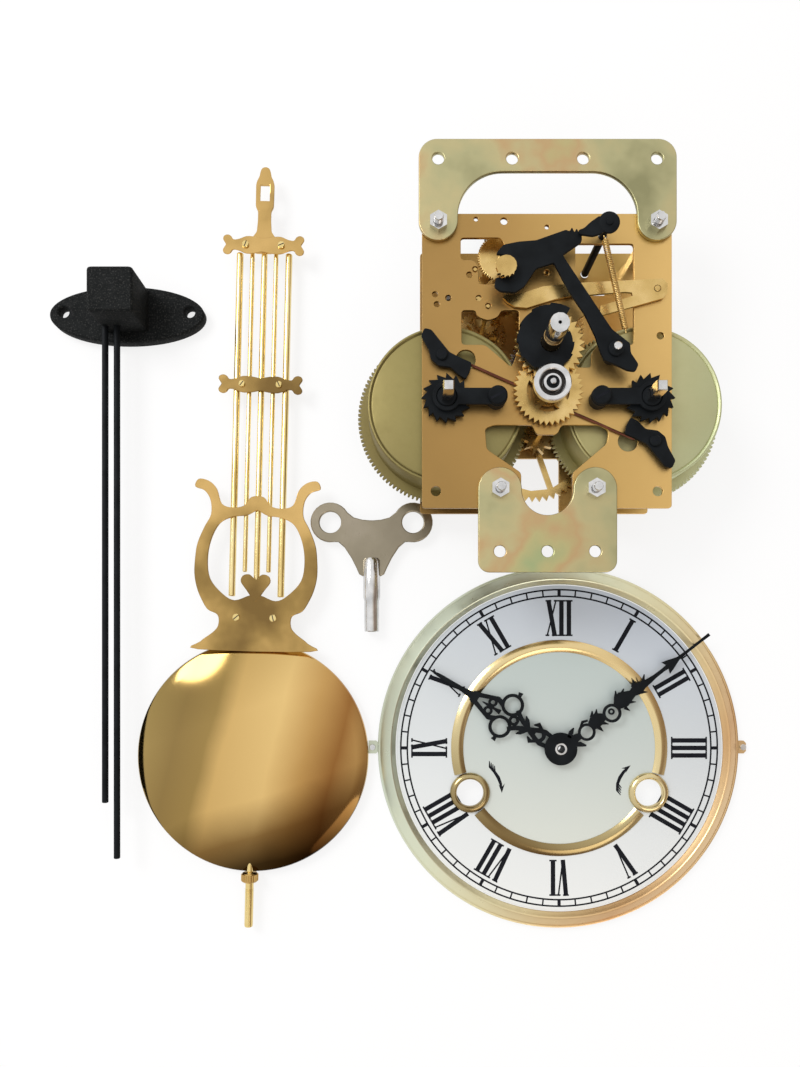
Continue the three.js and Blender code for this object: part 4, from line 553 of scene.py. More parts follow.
# The centre's sheet, with a bite for each winding hole where its edge crosses the hole
hole_reach = hypot(HOLE_SIDE, HOLE_DROP)
hole_angle = degrees(atan2(HOLE_DROP, HOLE_SIDE))
bite_cosine = (CENTRE_EDGE ** 2 + hole_reach ** 2 - HOLE_EDGE ** 2) / (2 * CENTRE_EDGE * hole_reach)
half_bite = degrees(acos(bite_cosine))


def bite_angle(angle, side):
    x, y = around((0, 0), CENTRE_EDGE, radians(angle))
    return degrees(atan2(y + HOLE_DROP, x - side * HOLE_SIDE))


upper_first, upper_last = half_bite - hole_angle, 180 + hole_angle - half_bite
lower_first, lower_last = 180 + hole_angle + half_bite, 360 - hole_angle - half_bite
left_first, left_last = bite_angle(upper_last, -1), bite_angle(lower_first, -1)
right_first, right_last = 360 + bite_angle(-hole_angle - half_bite, 1), bite_angle(upper_first, 1)
centre_loop = arc(0, 0, CENTRE_EDGE, upper_first, upper_last, 100)
centre_loop += arc(-HOLE_SIDE, -HOLE_DROP, HOLE_EDGE, left_first, left_last)[1:-1]
centre_loop += arc(0, 0, CENTRE_EDGE, lower_first, lower_last, 60)
centre_loop += arc(HOLE_SIDE, -HOLE_DROP, HOLE_EDGE, right_first, right_last)[1:-1]
sheet_cut("centre_of_dial", [turned_points(centre_loop, DIAL), circle(DIAL, PIPE_HOLE)], 4.7, 4.86, CENTRE,
          edge=0.02)
GROMMET = [(6.6, 4), (6.74, 4), (6.8, FACE_TOP), (9.8, FACE_TOP), (9.8, 5.6), (9.5, 6.2), (8.9, 6.7),
           (8.2, 7.1), (7.6, 7.15), (7.1, 6.8), (6.75, 6.2), (6.6, 5.6)]
for train, spot in GROMMETS.items():
    turned_piece(f"{train}_grommet", GROMMET, spot, RING, replaces=(f"{train}_hole_grommet",), sides=72,
                 closed=True)


def ring_arc(first, last, steps):
    profile = [(47.3, 4.82), (53.3, 4.82), (53.3, 5.1), (52.2, 5.7), (50.3, 6.4), (49.4, 6.35), (48.2, 5.7),
               (47.3, 5.1)]
    bm = bmesh.new()
    sections = []
    for i in range(steps + 1):
        angle = first + (last - first) * i / steps
        sections.append([vertex(bm, *around(DIAL, radius, angle), z) for radius, z in profile])
    add_skin(bm, sections)
    bm.faces.new(sections[0])
    bm.faces.new(sections[-1])
    return bm


gap_low, gap_high = radians(-38.5), radians(-14.6)
piece("ring_of_dial", ring_arc(gap_high, pi - gap_high, 130), RING, replaces=("dial_inner_ring",))
piece("ring_of_dial_lower", ring_arc(pi - gap_low, 2 * pi + gap_low, 60), RING,
      replaces=("dial_inner_ring_lower",))


# Figures, minute track and winding arrows, printed on the face
def numeral_strokes(text):
    widths = {"I": 3.7, "V": 6, "X": 6}
    thick, thin, serif = 2.2, 0.75, 0.8
    height = 17.8
    foot, head = serif / 2, height - serif / 2
    lines = []
    x = -sum(widths[letter] for letter in text) / 2
    for letter in text:
        w = widths[letter]
        if letter == "I":
            lines.append((x + w / 2, 0, x + w / 2, height, thick))
            lines += [(x + 0.05, y, x + w - 0.05, y, serif) for y in (foot, head)]
        else:
            thick_foot, thin_foot = (x + w / 2, x + w / 2) if letter == "V" else (x + w - 1.4, x + 0.8)
            lines.append((x + 1.4, height, thick_foot, 0, thick))
            lines.append((x + w - 0.8, height, thin_foot, 0, thin))
            lines.append((x, head, x + 2.9, head, serif))
            lines.append((x + w - 1.9, head, x + w, head, serif))
            if letter == "X":
                lines.append((x, foot, x + 1.9, foot, serif))
                lines.append((x + w - 2.9, foot, x + w, foot, serif))
        x += w
    return [stroke([(a, b), (c, d)], width) for a, b, c, d, width in lines]


PRINT_LOW, PRINT_HIGH = 4.78, 4.83
NUMERAL_FOOT = 55.2
bm = bmesh.new()
NUMERALS = ["XII", "I", "II", "III", "IIII", "V", "VI", "VII", "VIII", "IX", "X", "XI"]
for hour, text in enumerate(NUMERALS):
    for i, shape in enumerate(numeral_strokes(text)):
        lifted = [(x, y + NUMERAL_FOOT) for x, y in shape]
        add_prism(bm, turned_points(lifted, DIAL, -hour * pi / 6), PRINT_LOW, PRINT_HIGH + 0.002 * i)
piece("dial_numerals", bm, INK_AND_SLOT_SHADE, smooth=False)

TRACK_INNER, TRACK_OUTER = 74.9, 78.1
bm = bmesh.new()
for radius in (TRACK_INNER, TRACK_OUTER):
    add_lathe(bm, [(radius - 0.4, PRINT_LOW), (radius + 0.4, PRINT_LOW), (radius + 0.4, PRINT_HIGH),
                   (radius - 0.4, PRINT_HIGH)], DIAL, 180)
for minute in range(60):
    width = 1.6 if minute % 5 == 0 else 0.75
    bar = stroke([(0, TRACK_INNER), (0, TRACK_OUTER)], width)
    add_prism(bm, turned_points(bar, DIAL, -minute * pi / 30), PRINT_LOW, PRINT_HIGH + 0.004)
piece("dial_minute_track", bm, INK_AND_SLOT_SHADE, smooth=False)

ARROW_LOW = 4.84
ARROW_SHAFT = [(34.4, -9.4), (32, -11.6), (30, -14.6), (28.8, -17.8), (28.4, -21)]
bm = bmesh.new()
for side in (-1, 1):
    shaft = [(side * x, y) for x, y in ARROW_SHAFT]
    add_prism(bm, turned_points(stroke(shaft, [0.7, 1.4, 1.7, 1.4, 0.7]), DIAL), ARROW_LOW, ARROW_LOW + 0.06)
    route = [Vector(spot) for spot in (shaft if side < 0 else shaft[::-1])]
    run = (route[-1] - route[-2]).normalized()
    cross = Vector((-run.y, run.x))
    tip = route[-1] + run * 1.2
    barb = [tip, tip - run * 4.4 + cross * 2, tip - run * 2.6, tip - run * 4.4 - cross * 1.1]
    add_prism(bm, turned_points(barb, DIAL), ARROW_LOW, ARROW_LOW + 0.07)
    back = (route[0] - route[1]).normalized()
    fan = Vector((-back.y, back.x))
    for k in range(4):
        start = route[0] - back * (0.2 + k * 1.15)
        feather = stroke([start, start + back * 2.2 + fan * side * 2.2], [0.9, 0.35])
        add_prism(bm, turned_points(feather, DIAL), ARROW_LOW, ARROW_LOW + 0.08)
piece("dial_winding_arrows", bm, INK_AND_SLOT_SHADE, smooth=False)


# Hands: pierced and scrolled blades; along the hand first, across it second
def hand_shapes(bm, turn, low, high, shapes, rings):
    for i, shape in enumerate(shapes):
        add_prism(bm, turned_points(shape, DIAL, turn), low, high - 0.004 * i)
    for i, (reach, across, outer, inner) in enumerate(rings):
        spot = turned_points([(reach, across)], DIAL, turn)[0]
        add_ring(bm, spot, outer, inner, low, high - 0.003 * i - 0.02, 36)


SCROLL_WEIGHT = 1.25


def both_sides(points, widths):
    widths = [width * SCROLL_WEIGHT for width in widths]
    return [stroke(points, widths), stroke([(x, -y) for x, y in points], widths)]


HOUR_LOW, HOUR_HIGH = 7.5, 8.3
MINUTE_LOW, MINUTE_HIGH = 8.7, 9.5
hour_shapes = [
    *both_sides([(6, 2.6), (10.4, 3.2), (13.5, 2.2), (19.5, -0.6), (24, -2.6), (27.5, -5.2)],
                [1.6, 1.8, 1.9, 1.8, 1.9, 1.6]),
    *both_sides([(12.5, 3.6), (15, 4.6), (17, 3.2)], [0.6, 1.9, 0.5]),
    *both_sides([(19, 0), (21, 3.6), (22.5, 5)], [2.4, 1.5, 0.4]),
    *both_sides([(30.2, 10.8), (30.6, 13.4)], [1, 1.9]),
    *both_sides([(35.2, 4), (38.4, 5.1), (42, 4), (46.4, 2.4), (50.4, 1.2)], [2.2, 2, 1.6, 1.8, 2.2]),
    stroke([(34.4, 0), (37.5, 0), (41, 0), (44.5, 0)], [2.6, 1.3, 1.6, 0.5]),
    stroke([(47, 0), (51, 0), (56, 0), (62, 0), (67, 0), (69.6, 0), (75.2, 0)],
           [5.6, 3.8, 2.4, 2.1, 2.1, 1.8, 0.4]),
]
hour_rings = [(31, 6.1, 5.6, 4), (31, -6.1, 5.6, 4), (12.6, 0, 3.6, 1.8), (40, 2.4, 2.3, 1),
              (40, -2.4, 2.3, 1), (26.6, 0, 2.6, 1.2)]
bm = bmesh.new()
HOUR_TURN = radians(148.8)
hand_shapes(bm, HOUR_TURN, HOUR_LOW, HOUR_HIGH, hour_shapes, hour_rings)
add_ring(bm, DIAL, 7.6, 2.8, HOUR_LOW - 0.3, HOUR_HIGH, 64)
piece("hour_hand_blade", bm, BLACK, "hour_hand", ("hour_hand",))

MINUTE_STROKES = [
    ([(6.5, 2), (9, 3.4), (11.2, 4.4)], [2, 2.2, 0.4]),
    ([(6.5, -2.2), (9, -4), (10.8, -6.2)], [2.2, 2.4, 0.8]),
    ([(7, 0), (11.4, -0.6)], [4.6, 3.2]),
    ([(18.4, -0.6), (21, 0.2), (23.4, 0.4), (26.4, -0.4)], [4.4, 6.2, 6.8, 3.2]),
    ([(21.4, 3), (23.4, 5.4)], [2, 0.3]),
    ([(24, 3), (25.6, 4.8)], [1.6, 0.3]),
    ([(21, -2.8), (21.6, -5.8)], [2.2, 0.3]),
    ([(24, -2.4), (25.8, -4.6)], [1.8, 0.3]),
    ([(14, 2.8), (16.4, 4), (18.8, 3)], [0.5, 1.4, 1]),
    ([(34, -0.4), (36.4, 0.4), (39, 0.6), (42, 0.2), (45, 0)], [3.4, 7, 8, 5.4, 3.2]),
    ([(36.4, 3.2), (38.4, 6.2)], [2, 0.3]),
    ([(40, 3.2), (42.2, 4.6)], [1.6, 0.3]),
    ([(37, -3), (38, -5.8)], [2, 0.3]),
    ([(40.6, -2.4), (43, -4.2)], [1.6, 0.3]),
    ([(44, 0.2), (47.6, 0.4), (51, 0.2), (55, 0)], [3.4, 6.2, 3.6, 2.6]),
    ([(46.4, 2.4), (48.6, 5.2)], [2, 0.3]),
    ([(48, -2), (50.4, -3.8)], [1.8, 0.3]),
    ([(51.6, 1.4), (54.4, 4)], [1.8, 0.3]),
    ([(54, 0), (58, 0), (63, 0), (66, 0)], [2.8, 1.9, 1.7, 2.2]),
    ([(70, 0), (78, 0), (86, 0), (91.4, 0)], [1.9, 1.3, 1.3, 1.5]),
]
MINUTE_SPADE = [(66, 0), (64.6, 3.4), (67.4, 2.6), (72.4, 0.8), (72.4, -0.8), (67.4, -2.6), (64.6, -3.4)]
minute_shapes = [stroke(points, widths) for points, widths in MINUTE_STROKES]
minute_shapes.insert(-1, MINUTE_SPADE)
minute_rings = [(15, -1.2, 4.3, 3), (30.4, -1.4, 4.6, 3.2), (30.6, -0.6, 1.6, 0.7)]
bm = bmesh.new()
MINUTE_TURN = radians(37.7)
hand_shapes(bm, MINUTE_TURN, MINUTE_LOW, MINUTE_HIGH, minute_shapes, minute_rings)
add_ring(bm, DIAL, 8, 2.6, MINUTE_LOW, MINUTE_HIGH, 64)
add_ring(bm, DIAL, 2.7, 1.5, 1, MINUTE_HIGH + 0.1, 40)
piece("minute_hand_blade", bm, BLACK, "minute_hand", ("minute_hand",))
bm = bmesh.new()
add_ring(bm, DIAL, 2.9, 1.9, MINUTE_HIGH - 0.02, MINUTE_HIGH + 0.5, 40)
piece("minute_hand_bush", bm, STEEL, "minute_hand")


# Pendulum: across and up from the bob's middle
def pen(points):
    return turned_points(points, BOB, LEAN)


BOB_SHOULDER, BOB_LIP, BOB_RISE = 55.8, 5.4, 7.2
bob_profile = [(0, 0), (54.6, 0), (56, 0.5), (56.8, 1.4), (BOB_RADIUS, 2.6), (BOB_RADIUS, 4.2), (56.6, 5),
               (BOB_SHOULDER, BOB_LIP)]
for k in range(1, 13):
    share = k / 12
    bob_profile.append((BOB_SHOULDER * (1 - share), BOB_LIP + BOB_RISE * (1 - (1 - share) ** 2)))
turned_piece("bob_shell", bob_profile, BOB, MIRROR, "bob", ("bob",), 180)

BOW_LOW, BOW_HIGH = 7.8, 9
MIDDLE_BOW, UPPER_BOW, GRID_TOP = 182, 249.6, 247
BOW_EDGE = [(0, 0.34), (0.2, 0.42), (0.42, 0.44), (0.6, 0.3), (0.74, 0.26), (0.8, 0.42), (0.88, 0.5),
            (0.97, 0.44), (1, 0.28), (0.96, 0.12), (0.93, 0)]
BOW = BOW_EDGE + [(u, -v) for u, v in reversed(BOW_EDGE[:-1])]


def bow_loop(y, half, height):
    right = [(u * half, y + v * height) for u, v in BOW]
    left = [(-x, v) for x, v in reversed(right[1:-1])]
    return smooth_loop(right + left, 3)


sheet_cut("middle_bow", [pen(bow_loop(MIDDLE_BOW, 20.5, 9))], BOW_LOW, BOW_HIGH, GOLD,
          replaces=("pendulum_bow",), edge=0.25)
head = mirrored([(4.2, 246), (6.5, 252.5), (3.6, 256.5), (3.2, 262), (3.2, 266.4), (4.4, 268.6), (4.5, 279.5),
                 (3.9, 281.6), (2.9, 283.4), (2.6, 285.4), (2, 287.2), (0.8, 288)])
eye = [(-2.3, 271.5), (2.3, 271.5), (2.3, 279.2), (-2.3, 279.2)]
sheet_cut("hook_plate", [pen(rounded(head, 1)), pen(eye)], BOW_LOW, BOW_HIGH, GOLD,
          replaces=("pendulum_hook",), edge=0.2)
sheet_cut("upper_bow", [pen(bow_loop(UPPER_BOW, 19.8, 9.6))], BOW_HIGH - 0.05, BOW_HIGH + 0.7, GOLD,
          edge=0.25)

LYRE_OUTER = [(27.5, 52), (26.2, 56), (20.4, 60.5), (17.8, 64), (18.2, 69), (23, 71.5), (26, 76), (28.6, 82),
              (30, 89), (29.8, 97), (28.8, 104), (25.6, 112), (22.6, 118), (23, 125), (26, 129.6),
              (30.6, 131.5), (29, 135.2), (24, 134.4), (20, 130.6), (17.4, 123.4), (12, 121.6), (6.4, 122.8),
              (3, 127)]
LYRE_HOLE = [(2.5, 79), (10, 76.4), (16, 79.4), (22.2, 86.6), (23.6, 96), (22.2, 105.5), (18.2, 113.6),
             (12, 117), (5, 118), (0.6, 120.4)]
HEART = [(0.6, 76), (4.5, 81.6), (7.2, 85.4), (6.4, 88.4), (3.2, 89.2), (0.5, 87)]
sheet_cut("lyre_plate", [pen(smooth_loop(mirrored(LYRE_OUTER))), pen(smooth_loop(mirrored(LYRE_HOLE)))],
          BOW_LOW, BOW_HIGH, GOLD, replaces=("lyre",), edge=0.25)
sheet_cut("lyre_heart", [pen(smooth_loop(mirrored(HEART), 3))], BOW_LOW + 0.02, BOW_HIGH + 0.1, GOLD,
          edge=0.25)


def add_rod(bm, start, end, radius, level, sides=28, chamfer=0.3):
    a, b = Vector((*start, level)), Vector((*end, level))
    run = (b - a).normalized()
    side = run.cross(Vector((0, 0, 1)))
    up = side.cross(run)
    stops = [(0, radius - chamfer), (chamfer, radius), ((b - a).length - chamfer, radius),
             ((b - a).length, radius - chamfer)]
    rings = []
    for along_rod, reach in stops:
        turns = (2 * pi * k / sides for k in range(sides))
        spots = (a + run * along_rod + (side * cos(w) + up * sin(w)) * reach for w in turns)
        rings.append([bm.verts.new(spot * MM) for spot in spots])
    add_skin(bm, rings)
    bm.faces.new(rings[0])
    bm.faces.new(rings[-1])


GRID = [("grid_rod_outer_left", -12, 1.65, 78.5), ("grid_rod_inner_left", -5.8, 1.1, 90.5),
        ("grid_rod_middle", 0, 1.5, 86.8), ("grid_rod_inner_right", 5.8, 1.1, 90.5),
        ("grid_rod_outer_right", 12, 1.65, 78.5)]
for name, x, radius, low in GRID:
    bm = bmesh.new()
    add_rod(bm, *pen([(x, low), (x, GRID_TOP)]), radius, BOW_LOW - radius)
    piece(f"{name}_bar", bm, ROD, replaces=(name,))
ROD_RADIUS, ROD_LEVEL, NUT_RADIUS = 2, 5.2, 4
bm = bmesh.new()
add_rod(bm, *pen([(0, -84), (0, -57.2)]), ROD_RADIUS, ROD_LEVEL)
add_rod(bm, *pen([(0, -57.4), (0, 57.4)]), 1.6, 4.6)
add_rod(bm, *pen([(0, 57.2), (0, 76)]), ROD_RADIUS, ROD_LEVEL)
piece("bob_rod_bar", bm, ROD, replaces=("bob_rod",))
bm = bmesh.new()
for k in range(30):
    add_rod(bm, *pen([(0, -65.5 - k * 0.6), (0, -65.2 - k * 0.6)]), ROD_RADIUS + 0.12, ROD_LEVEL, 20, 0.1)
piece("bob_rod_thread", bm, ROD)
bm = bmesh.new()
add_rod(bm, *pen([(0, -61.8), (0, -57.4)]), NUT_RADIUS, ROD_LEVEL, 24, 0.5)
for k in range(24):
    x, z = around((0, ROD_LEVEL), NUT_RADIUS, 2 * pi * k / 24)
    add_rod(bm, *pen([(x, -61.2), (x, -58)]), 0.22, z, 6, 0.1)
piece("rating_nut_knurl", bm, GOLD, "rating_nut", ("rating_nut",))

# Pendulum screws, with dark bars of painted shade for their slots
screws, slot_shades = bmesh.new(), bmesh.new()
spots = [(8.7, UPPER_BOW, 1.7, 9.7, 0.4), (-8.7, UPPER_BOW, 1.7, 9.7, 1.2),
         (9, MIDDLE_BOW, 1.6, 9, 2), (-9, MIDDLE_BOW, 1.6, 9, 0.9),
         (9, 68, 1.8, 9, 1.8), (-9, 68, 1.8, 9, 0.7)]
for x, y, radius, low, angle in spots:
    add_screw(screws, slot_shades, pen([(x, y)])[0], radius, low - 0.2, low + 1, angle)
piece("pendulum_screws", screws, ROD)
piece("pendulum_screw_slot_shades", slot_shades, SHADE, smooth=False)

# Winding key: rounded wings on a turned stem
WING_SIDE, WING_UP, WING_RADIUS, WING_HOLE = 20.4, 17, 9.8, 5.3
STEM_FOOT, STEM_LEVEL = KEY.y - 37, 4.2
wing_loop = [(4.4, -9.6), (6.2, -8.6), (7.6, -5.4), (10, -0.6), (13.4, 4.6), (17.2, 7.9)]
wing_loop += arc(WING_SIDE, WING_UP, WING_RADIUS, degrees(-1.95), degrees(2.62), 20)
wing_loop += [(8.8, 19.4), (4.6, 18.3), (1, 18)]
key_outer = [(KEY.x + x, KEY.y + y) for x, y in mirrored(wing_loop)]
key_holes = [circle((KEY.x + side * WING_SIDE, KEY.y + WING_UP), WING_HOLE, 48) for side in (-1, 1)]
sheet_cut("key_wings", [key_outer, *key_holes], 2.9, 5.1, NICKEL, replaces=("winding_key",), edge=0.45)
bm = bmesh.new()
add_lathe(bm, [(2.2, 0), (3.3, 0), (3.6, 0.3), (3.65, 15), (4.2, 17), (4.2, 35), (3.4, 36.2), (0, 36.2),
               (0, 14), (2.2, 14)], (0, 0), 56)
for vert in bm.verts:
    x, y, z = vert.co
    vert.co = (KEY.x * MM + x, STEM_FOOT * MM + z, STEM_LEVEL * MM + y)
piece("key_stem", bm, STEEL)

# Gong: a cast block on a lens-shaped foot, and two round rods
FOOT_REACH, FOOT_HALF = 38.1, 13.8
gong_oval = [(GONG.x + FOOT_REACH * x, GONG.y - 1 + FOOT_HALF * y) for x, y in circle((0, 0), 1, 72)]
gong_holes = [circle(at(GONG, x, 0.2), 2.5, 32) for x in (-31, 31)]
sheet_cut("gong_foot", [gong_oval, *gong_holes], 0, 6, CAST, replaces=("gong_block",), edge=0.9)
tower = [(-10.8, -9.6), (10.8, -9.6), (10.8, 11.4), (-10.8, 11.4)]
sheet_cut("gong_tower", [turned_points(rounded(tower, 2.2), GONG)], 5, 28, CAST, edge=1.1)
for name, x, low in (("gong_rod_short", -8.1, -240), ("gong_rod_long", -2.4, -267)):
    bm = bmesh.new()
    add_rod(bm, (GONG.x + x, GONG.y + low), (GONG.x + x, GONG.y + 1.7), 1.5, 12)
    piece(f"{name}_bar", bm, BLACK, replaces=(name,))

# Winding work: fine-toothed great wheels, drums, ratchets, squares, bridges and clicks
GREAT_TIP, GREAT_ROOT, GREAT_TEETH, GREAT_THICK = 39.8, 38.3, 120, 2.5
RATCHET_TIP, RATCHET_ROOT, RATCHET_TEETH = 10.8, 8.6, 16
DRUM_TOP, DRUM_BORE = 42.6, 4.7
DRUM_TOP_EDGE = [(34.6, 0.6), (34.3, 0.1), (33.7, 0), (33.2, 0.25), (32.9, 0.6), (32.5, 0.3), (32.2, 0.22),
                 (4.9, 0.22), (DRUM_BORE, 0.4)]
BRIDGE_REACH, POST_TOP, STUD_TOP = 21.8, 54.95, 51.85


def gear_loop(place, teeth, tip, root):
    step = 2 * pi / teeth
    tooth = ((-0.36, root), (-0.16, tip), (0.16, tip), (0.36, root))
    return [around(place, radius, (i + share) * step) for i in range(teeth) for share, radius in tooth]


def saw_loop(place, lean):
    step = 2 * pi / RATCHET_TEETH
    loop = []
    for i in range(RATCHET_TEETH):
        tip, root = (i * step, RATCHET_TIP), ((i + lean * 0.12) * step, RATCHET_ROOT)
        for angle, radius in ((tip, root) if lean > 0 else (root, tip)):
            loop.append(around(place, radius, angle))
    return loop


click_shares = [(-0.67, 0.63), (-0.56, 0.87), (-0.34, 0.82), (0.24, 0.1), (0.43, 0), (0.72, -0.14),
                (0.96, -0.24), (0.92, -0.49), (0.77, -0.77), (0.53, -0.63), (0.29, -0.39), (-0.1, -0.34),
                (-0.34, -0.14), (-0.43, 0.19)]
for train, side in (("strike", 1), ("time", -1)):
    spot = BARRELS[train]
    body = f"{train}_barrel"
    wheel_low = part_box(body)[0].z / MM
    wheel_high = wheel_low + GREAT_THICK
    great = [gear_loop(spot, GREAT_TEETH, GREAT_TIP, GREAT_ROOT), circle(spot, DRUM_BORE)]
    sheet_cut(f"{train}_great_wheel", great, wheel_low, wheel_high, BARREL, body, (body,), 0.1)
    drum = [(DRUM_BORE, wheel_high - 0.1), (34.5, wheel_high - 0.1), (34.6, wheel_high + 0.5)]
    drum += [(radius, DRUM_TOP - drop) for radius, drop in DRUM_TOP_EDGE]
    turned_piece(f"{train}_drum", drum, spot, BARREL, body, sides=128, closed=True)
    arbor = f"{train}_winding_arbor"
    shaft = [(0, BACK_LOW), (4.2, BACK_LOW), (4.2, 52.9), (3.8, 53.3), (0, 53.3)]
    turned_piece(f"{train}_winding_shaft", shaft, spot, BLACK, arbor, (arbor,), 48)
    sheet_cut(f"{train}_ratchet", [saw_loop(spot, side)], 48.7, 50.7, BLACK, arbor, edge=0.15)
    bm = bmesh.new()
    add_lathe(bm, [(0, 52.5), (3.11, 52.5), (3.11, 65.2), (2.5, 66), (0, 66)], spot, 4, False, pi / 4)
    piece(f"{train}_winding_square", bm, STEEL, arbor)
    turn = 0 if side > 0 else pi
    bridge = arc(0, 0, 6.2, 34.4, 325.6, 28) + arc(BRIDGE_REACH, 0, 4.3, -125.5, 125.5, 20)
    sheet_cut(f"{train}_bridge_strap", [turned_points(bridge, spot, turn), circle(spot, 4.5)], 51.6, 53.1,
              BLACK, replaces=(f"{train}_bridge",), edge=0.2)
    foot = at(spot, side * BRIDGE_REACH, 0)
    click = at(spot, -2 * side, 18.6 * side)
    post = [(0, PLATE_TOP), (4.1, PLATE_TOP), (4.1, 54.3), (3.5, 54.9), (0, POST_TOP)]
    turned_piece(f"{train}_bridge_post", post, foot, BLACK, sides=48)
    sheet_cut(f"{train}_click_plate", [turned_points(rounded(scaled(click_shares, 13.4), 0.8), click, turn)],
              48.75, 50.45, BLACK, f"{train}_click", (f"{train}_click",), 0.15)
    stud = [(0, PLATE_TOP), (2.4, PLATE_TOP), (2.4, 51.4), (2, 51.8), (0, STUD_TOP)]
    turned_piece(f"{train}_click_stud", stud, click, BLACK, sides=32)
    # Dark bars across the bridge screws and click studs: painted shade in their slots
    bm = bmesh.new()
    for place, reach, high in ((foot, 3.5, POST_TOP), (click, 1.9, STUD_TOP)):
        line = turned_points([(-reach, 0), (reach, 0)], place, 0.5)
        add_prism(bm, stroke(line, reach * 0.28), high - 0.12, high + 0.02)
    piece(f"{train}_screw_slot_shades", bm, INK_AND_SLOT_SHADE, smooth=False)


def on_movement(points):
    return [(MOVEMENT.x + x, MOVEMENT.y + y) for x, y in points]


# Front plate: the joined slot and lower window in its outline, three windows and its drilled holes
plate_outline = [(-54.5, -64.2), (-11.2, -64.2), (-11.2, -48.8), (-26.3, -38.5), (-27, -29.5), (-23.1, -27.9),
                 (-6.4, -27.9), (-4.5, -32.1), (4.5, -32.1), (6.4, -27.9), (23.1, -27.9), (27, -30.2),
                 (26.3, -36), (11.2, -48.8), (11.2, -64.2), (54.5, -64.2), (54.5, 64.2), (-54.5, 64.2)]
upper_left = [(-37.6, 53.8), (-20, 53.8), (-17.5, 48.5), (-20.5, 43), (-22.4, 33.4), (-29.9, 33.4),
              (-29.9, 41.5), (-32, 44), (-37.6, 44)]
upper_right = [(12.4, 36.5), (12.4, 51.2), (37.9, 51.2), (37.9, 7), (22.6, 7), (19.4, 3.6), (19.4, -2.9),
               (12.8, -2.9), (12.8, 17.5), (21.4, 23.5)]
middle_left = scaled([(-0.58, 0.345), (-0.485, 0.345), (-0.47, 0.3), (-0.4, 0.275), (-0.33, 0.3),
                      (-0.31, 0.345), (-0.19, 0.345), (-0.19, 0.08), (-0.24, -0.045), (-0.42, 0.11),
                      (-0.58, 0.11)], 64.2)
HOLES = [(0, 4.7, 3.6), (-44, -17.3, 4.7), (44, -17.3, 4.7), (-19.3, 35.5, 1.9), (24.3, 54.4, 1.9),
         (-35.4, 0.5, 4.4), (35.4, -35.1, 4.4), (-30.95, 61.9, 1), (-18.7, 61, 1.6), (0, 58.4, 1),
         (-33.8, 37.6, 1.4), (-48.8, 29.1, 1.3), (-48, 24.8, 1.3), (-29.7, 27.5, 1.3), (49.5, 11, 1.6),
         (-48.4, -56.8, 2.2), (48.4, -56.8, 2.2)]
# So many of the holes, from the first on, go through the back plate too, and so do all pivots
THROUGH_HOLES, PIVOT_HOLE = 5, 1.35
PIVOTS = [(4.14, 21.6), (0, 38.5), (0, 52), (-25.6, 23.95), (-31.3, 39.97), (-43, 27.5)]
hole_loops = [circle(at(MOVEMENT, x, y), radius, 32) for x, y, radius in HOLES]
pivot_loops = [circle(MOVEMENT + Vector(place), PIVOT_HOLE, 24) for place in PIVOTS]
plate_loops = [on_movement(rounded(plate_outline, 1.5))]
plate_loops += [on_movement(rounded(loop, 1.6)) for loop in (upper_left, upper_right, middle_left)]
plate_loops += hole_loops + pivot_loops
sheet_cut("front_plate_sheet", plate_loops, PLATE_LOW, PLATE_TOP, PLATE, replaces=("front_plate",))
lever_low, lever_high = (corner.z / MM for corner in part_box("lifting_lever"))
back_outline = [(-54.5, -60.4), (-12, -60.4), (-12, -34), (12, -34), (12, -60.4), (54.5, -60.4), (54.5, 64.2),
                (-54.5, 64.2)]
rack_slot = [(20, 44), (34, 44), (34, 48), (20, 48)]
back_loops = [on_movement(rounded(back_outline, 1.5)), on_movement(rack_slot), *hole_loops[:THROUGH_HOLES]]
back_loops += [circle(at(MOVEMENT, 0, -27.5), PIVOT_HOLE, 24), *pivot_loops]
sheet_cut("back_plate_sheet", back_loops, BACK_LOW, BACK_TOP, PLATE, replaces=("back_plate",))
turned_piece("lifting_stud",
             [(0, PLATE_TOP - 0.1), (2.6, PLATE_TOP - 0.1), (2.6, lever_low - 0.15), (1.3, lever_low - 0.15),
              (1.3, lever_high + 0.1), (1.1, lever_high + 0.3), (0, lever_high + 0.32)],
             at(MOVEMENT, 47.7, 30.8), WHEEL, sides=36)

# Brackets with rounded edges and drilled holes
top_outline = arc(48, 87.6, 8, 0, 90) + arc(-48, 87.6, 8, 90, 180) + arc(-47.5, 60.2, 8.5, 180, 360, 28)
top_outline += arc(-19.5, 62, 19.5, 180, 90) + arc(19.5, 62, 19.5, 90, 0)
top_outline += arc(47.5, 60.2, 8.5, -180, 0, 28)
bottom_outline = arc(20.7, -56.2, 9.45, 0, 180, 28) + arc(0, -56.35, 11.25, 0, -180, 28)
bottom_outline += arc(-20.7, -56.2, 9.45, 0, 180, 28) + arc(-25.15, -87.4, 5, 180, 270, 8)
bottom_outline += arc(25.15, -87.4, 5, 270, 360, 8)
top_loops = [top_outline, *(circle((x, 87.1), 2.6, 32) for x in (-47.5, -15.4, 15.4, 47.5))]
bottom_loops = [bottom_outline, *(circle((x, -83.3), 2.6, 32) for x in (-20.7, 0, 20.7))]
for name, loops in (("top_bracket", top_loops), ("bottom_bracket", bottom_loops)):
    sheet_cut(f"{name}_sheet", [on_movement(loop) for loop in loops], PLATE_TOP, BRACKET_TOP, ZINC,
              replaces=(name,), edge=0.35)

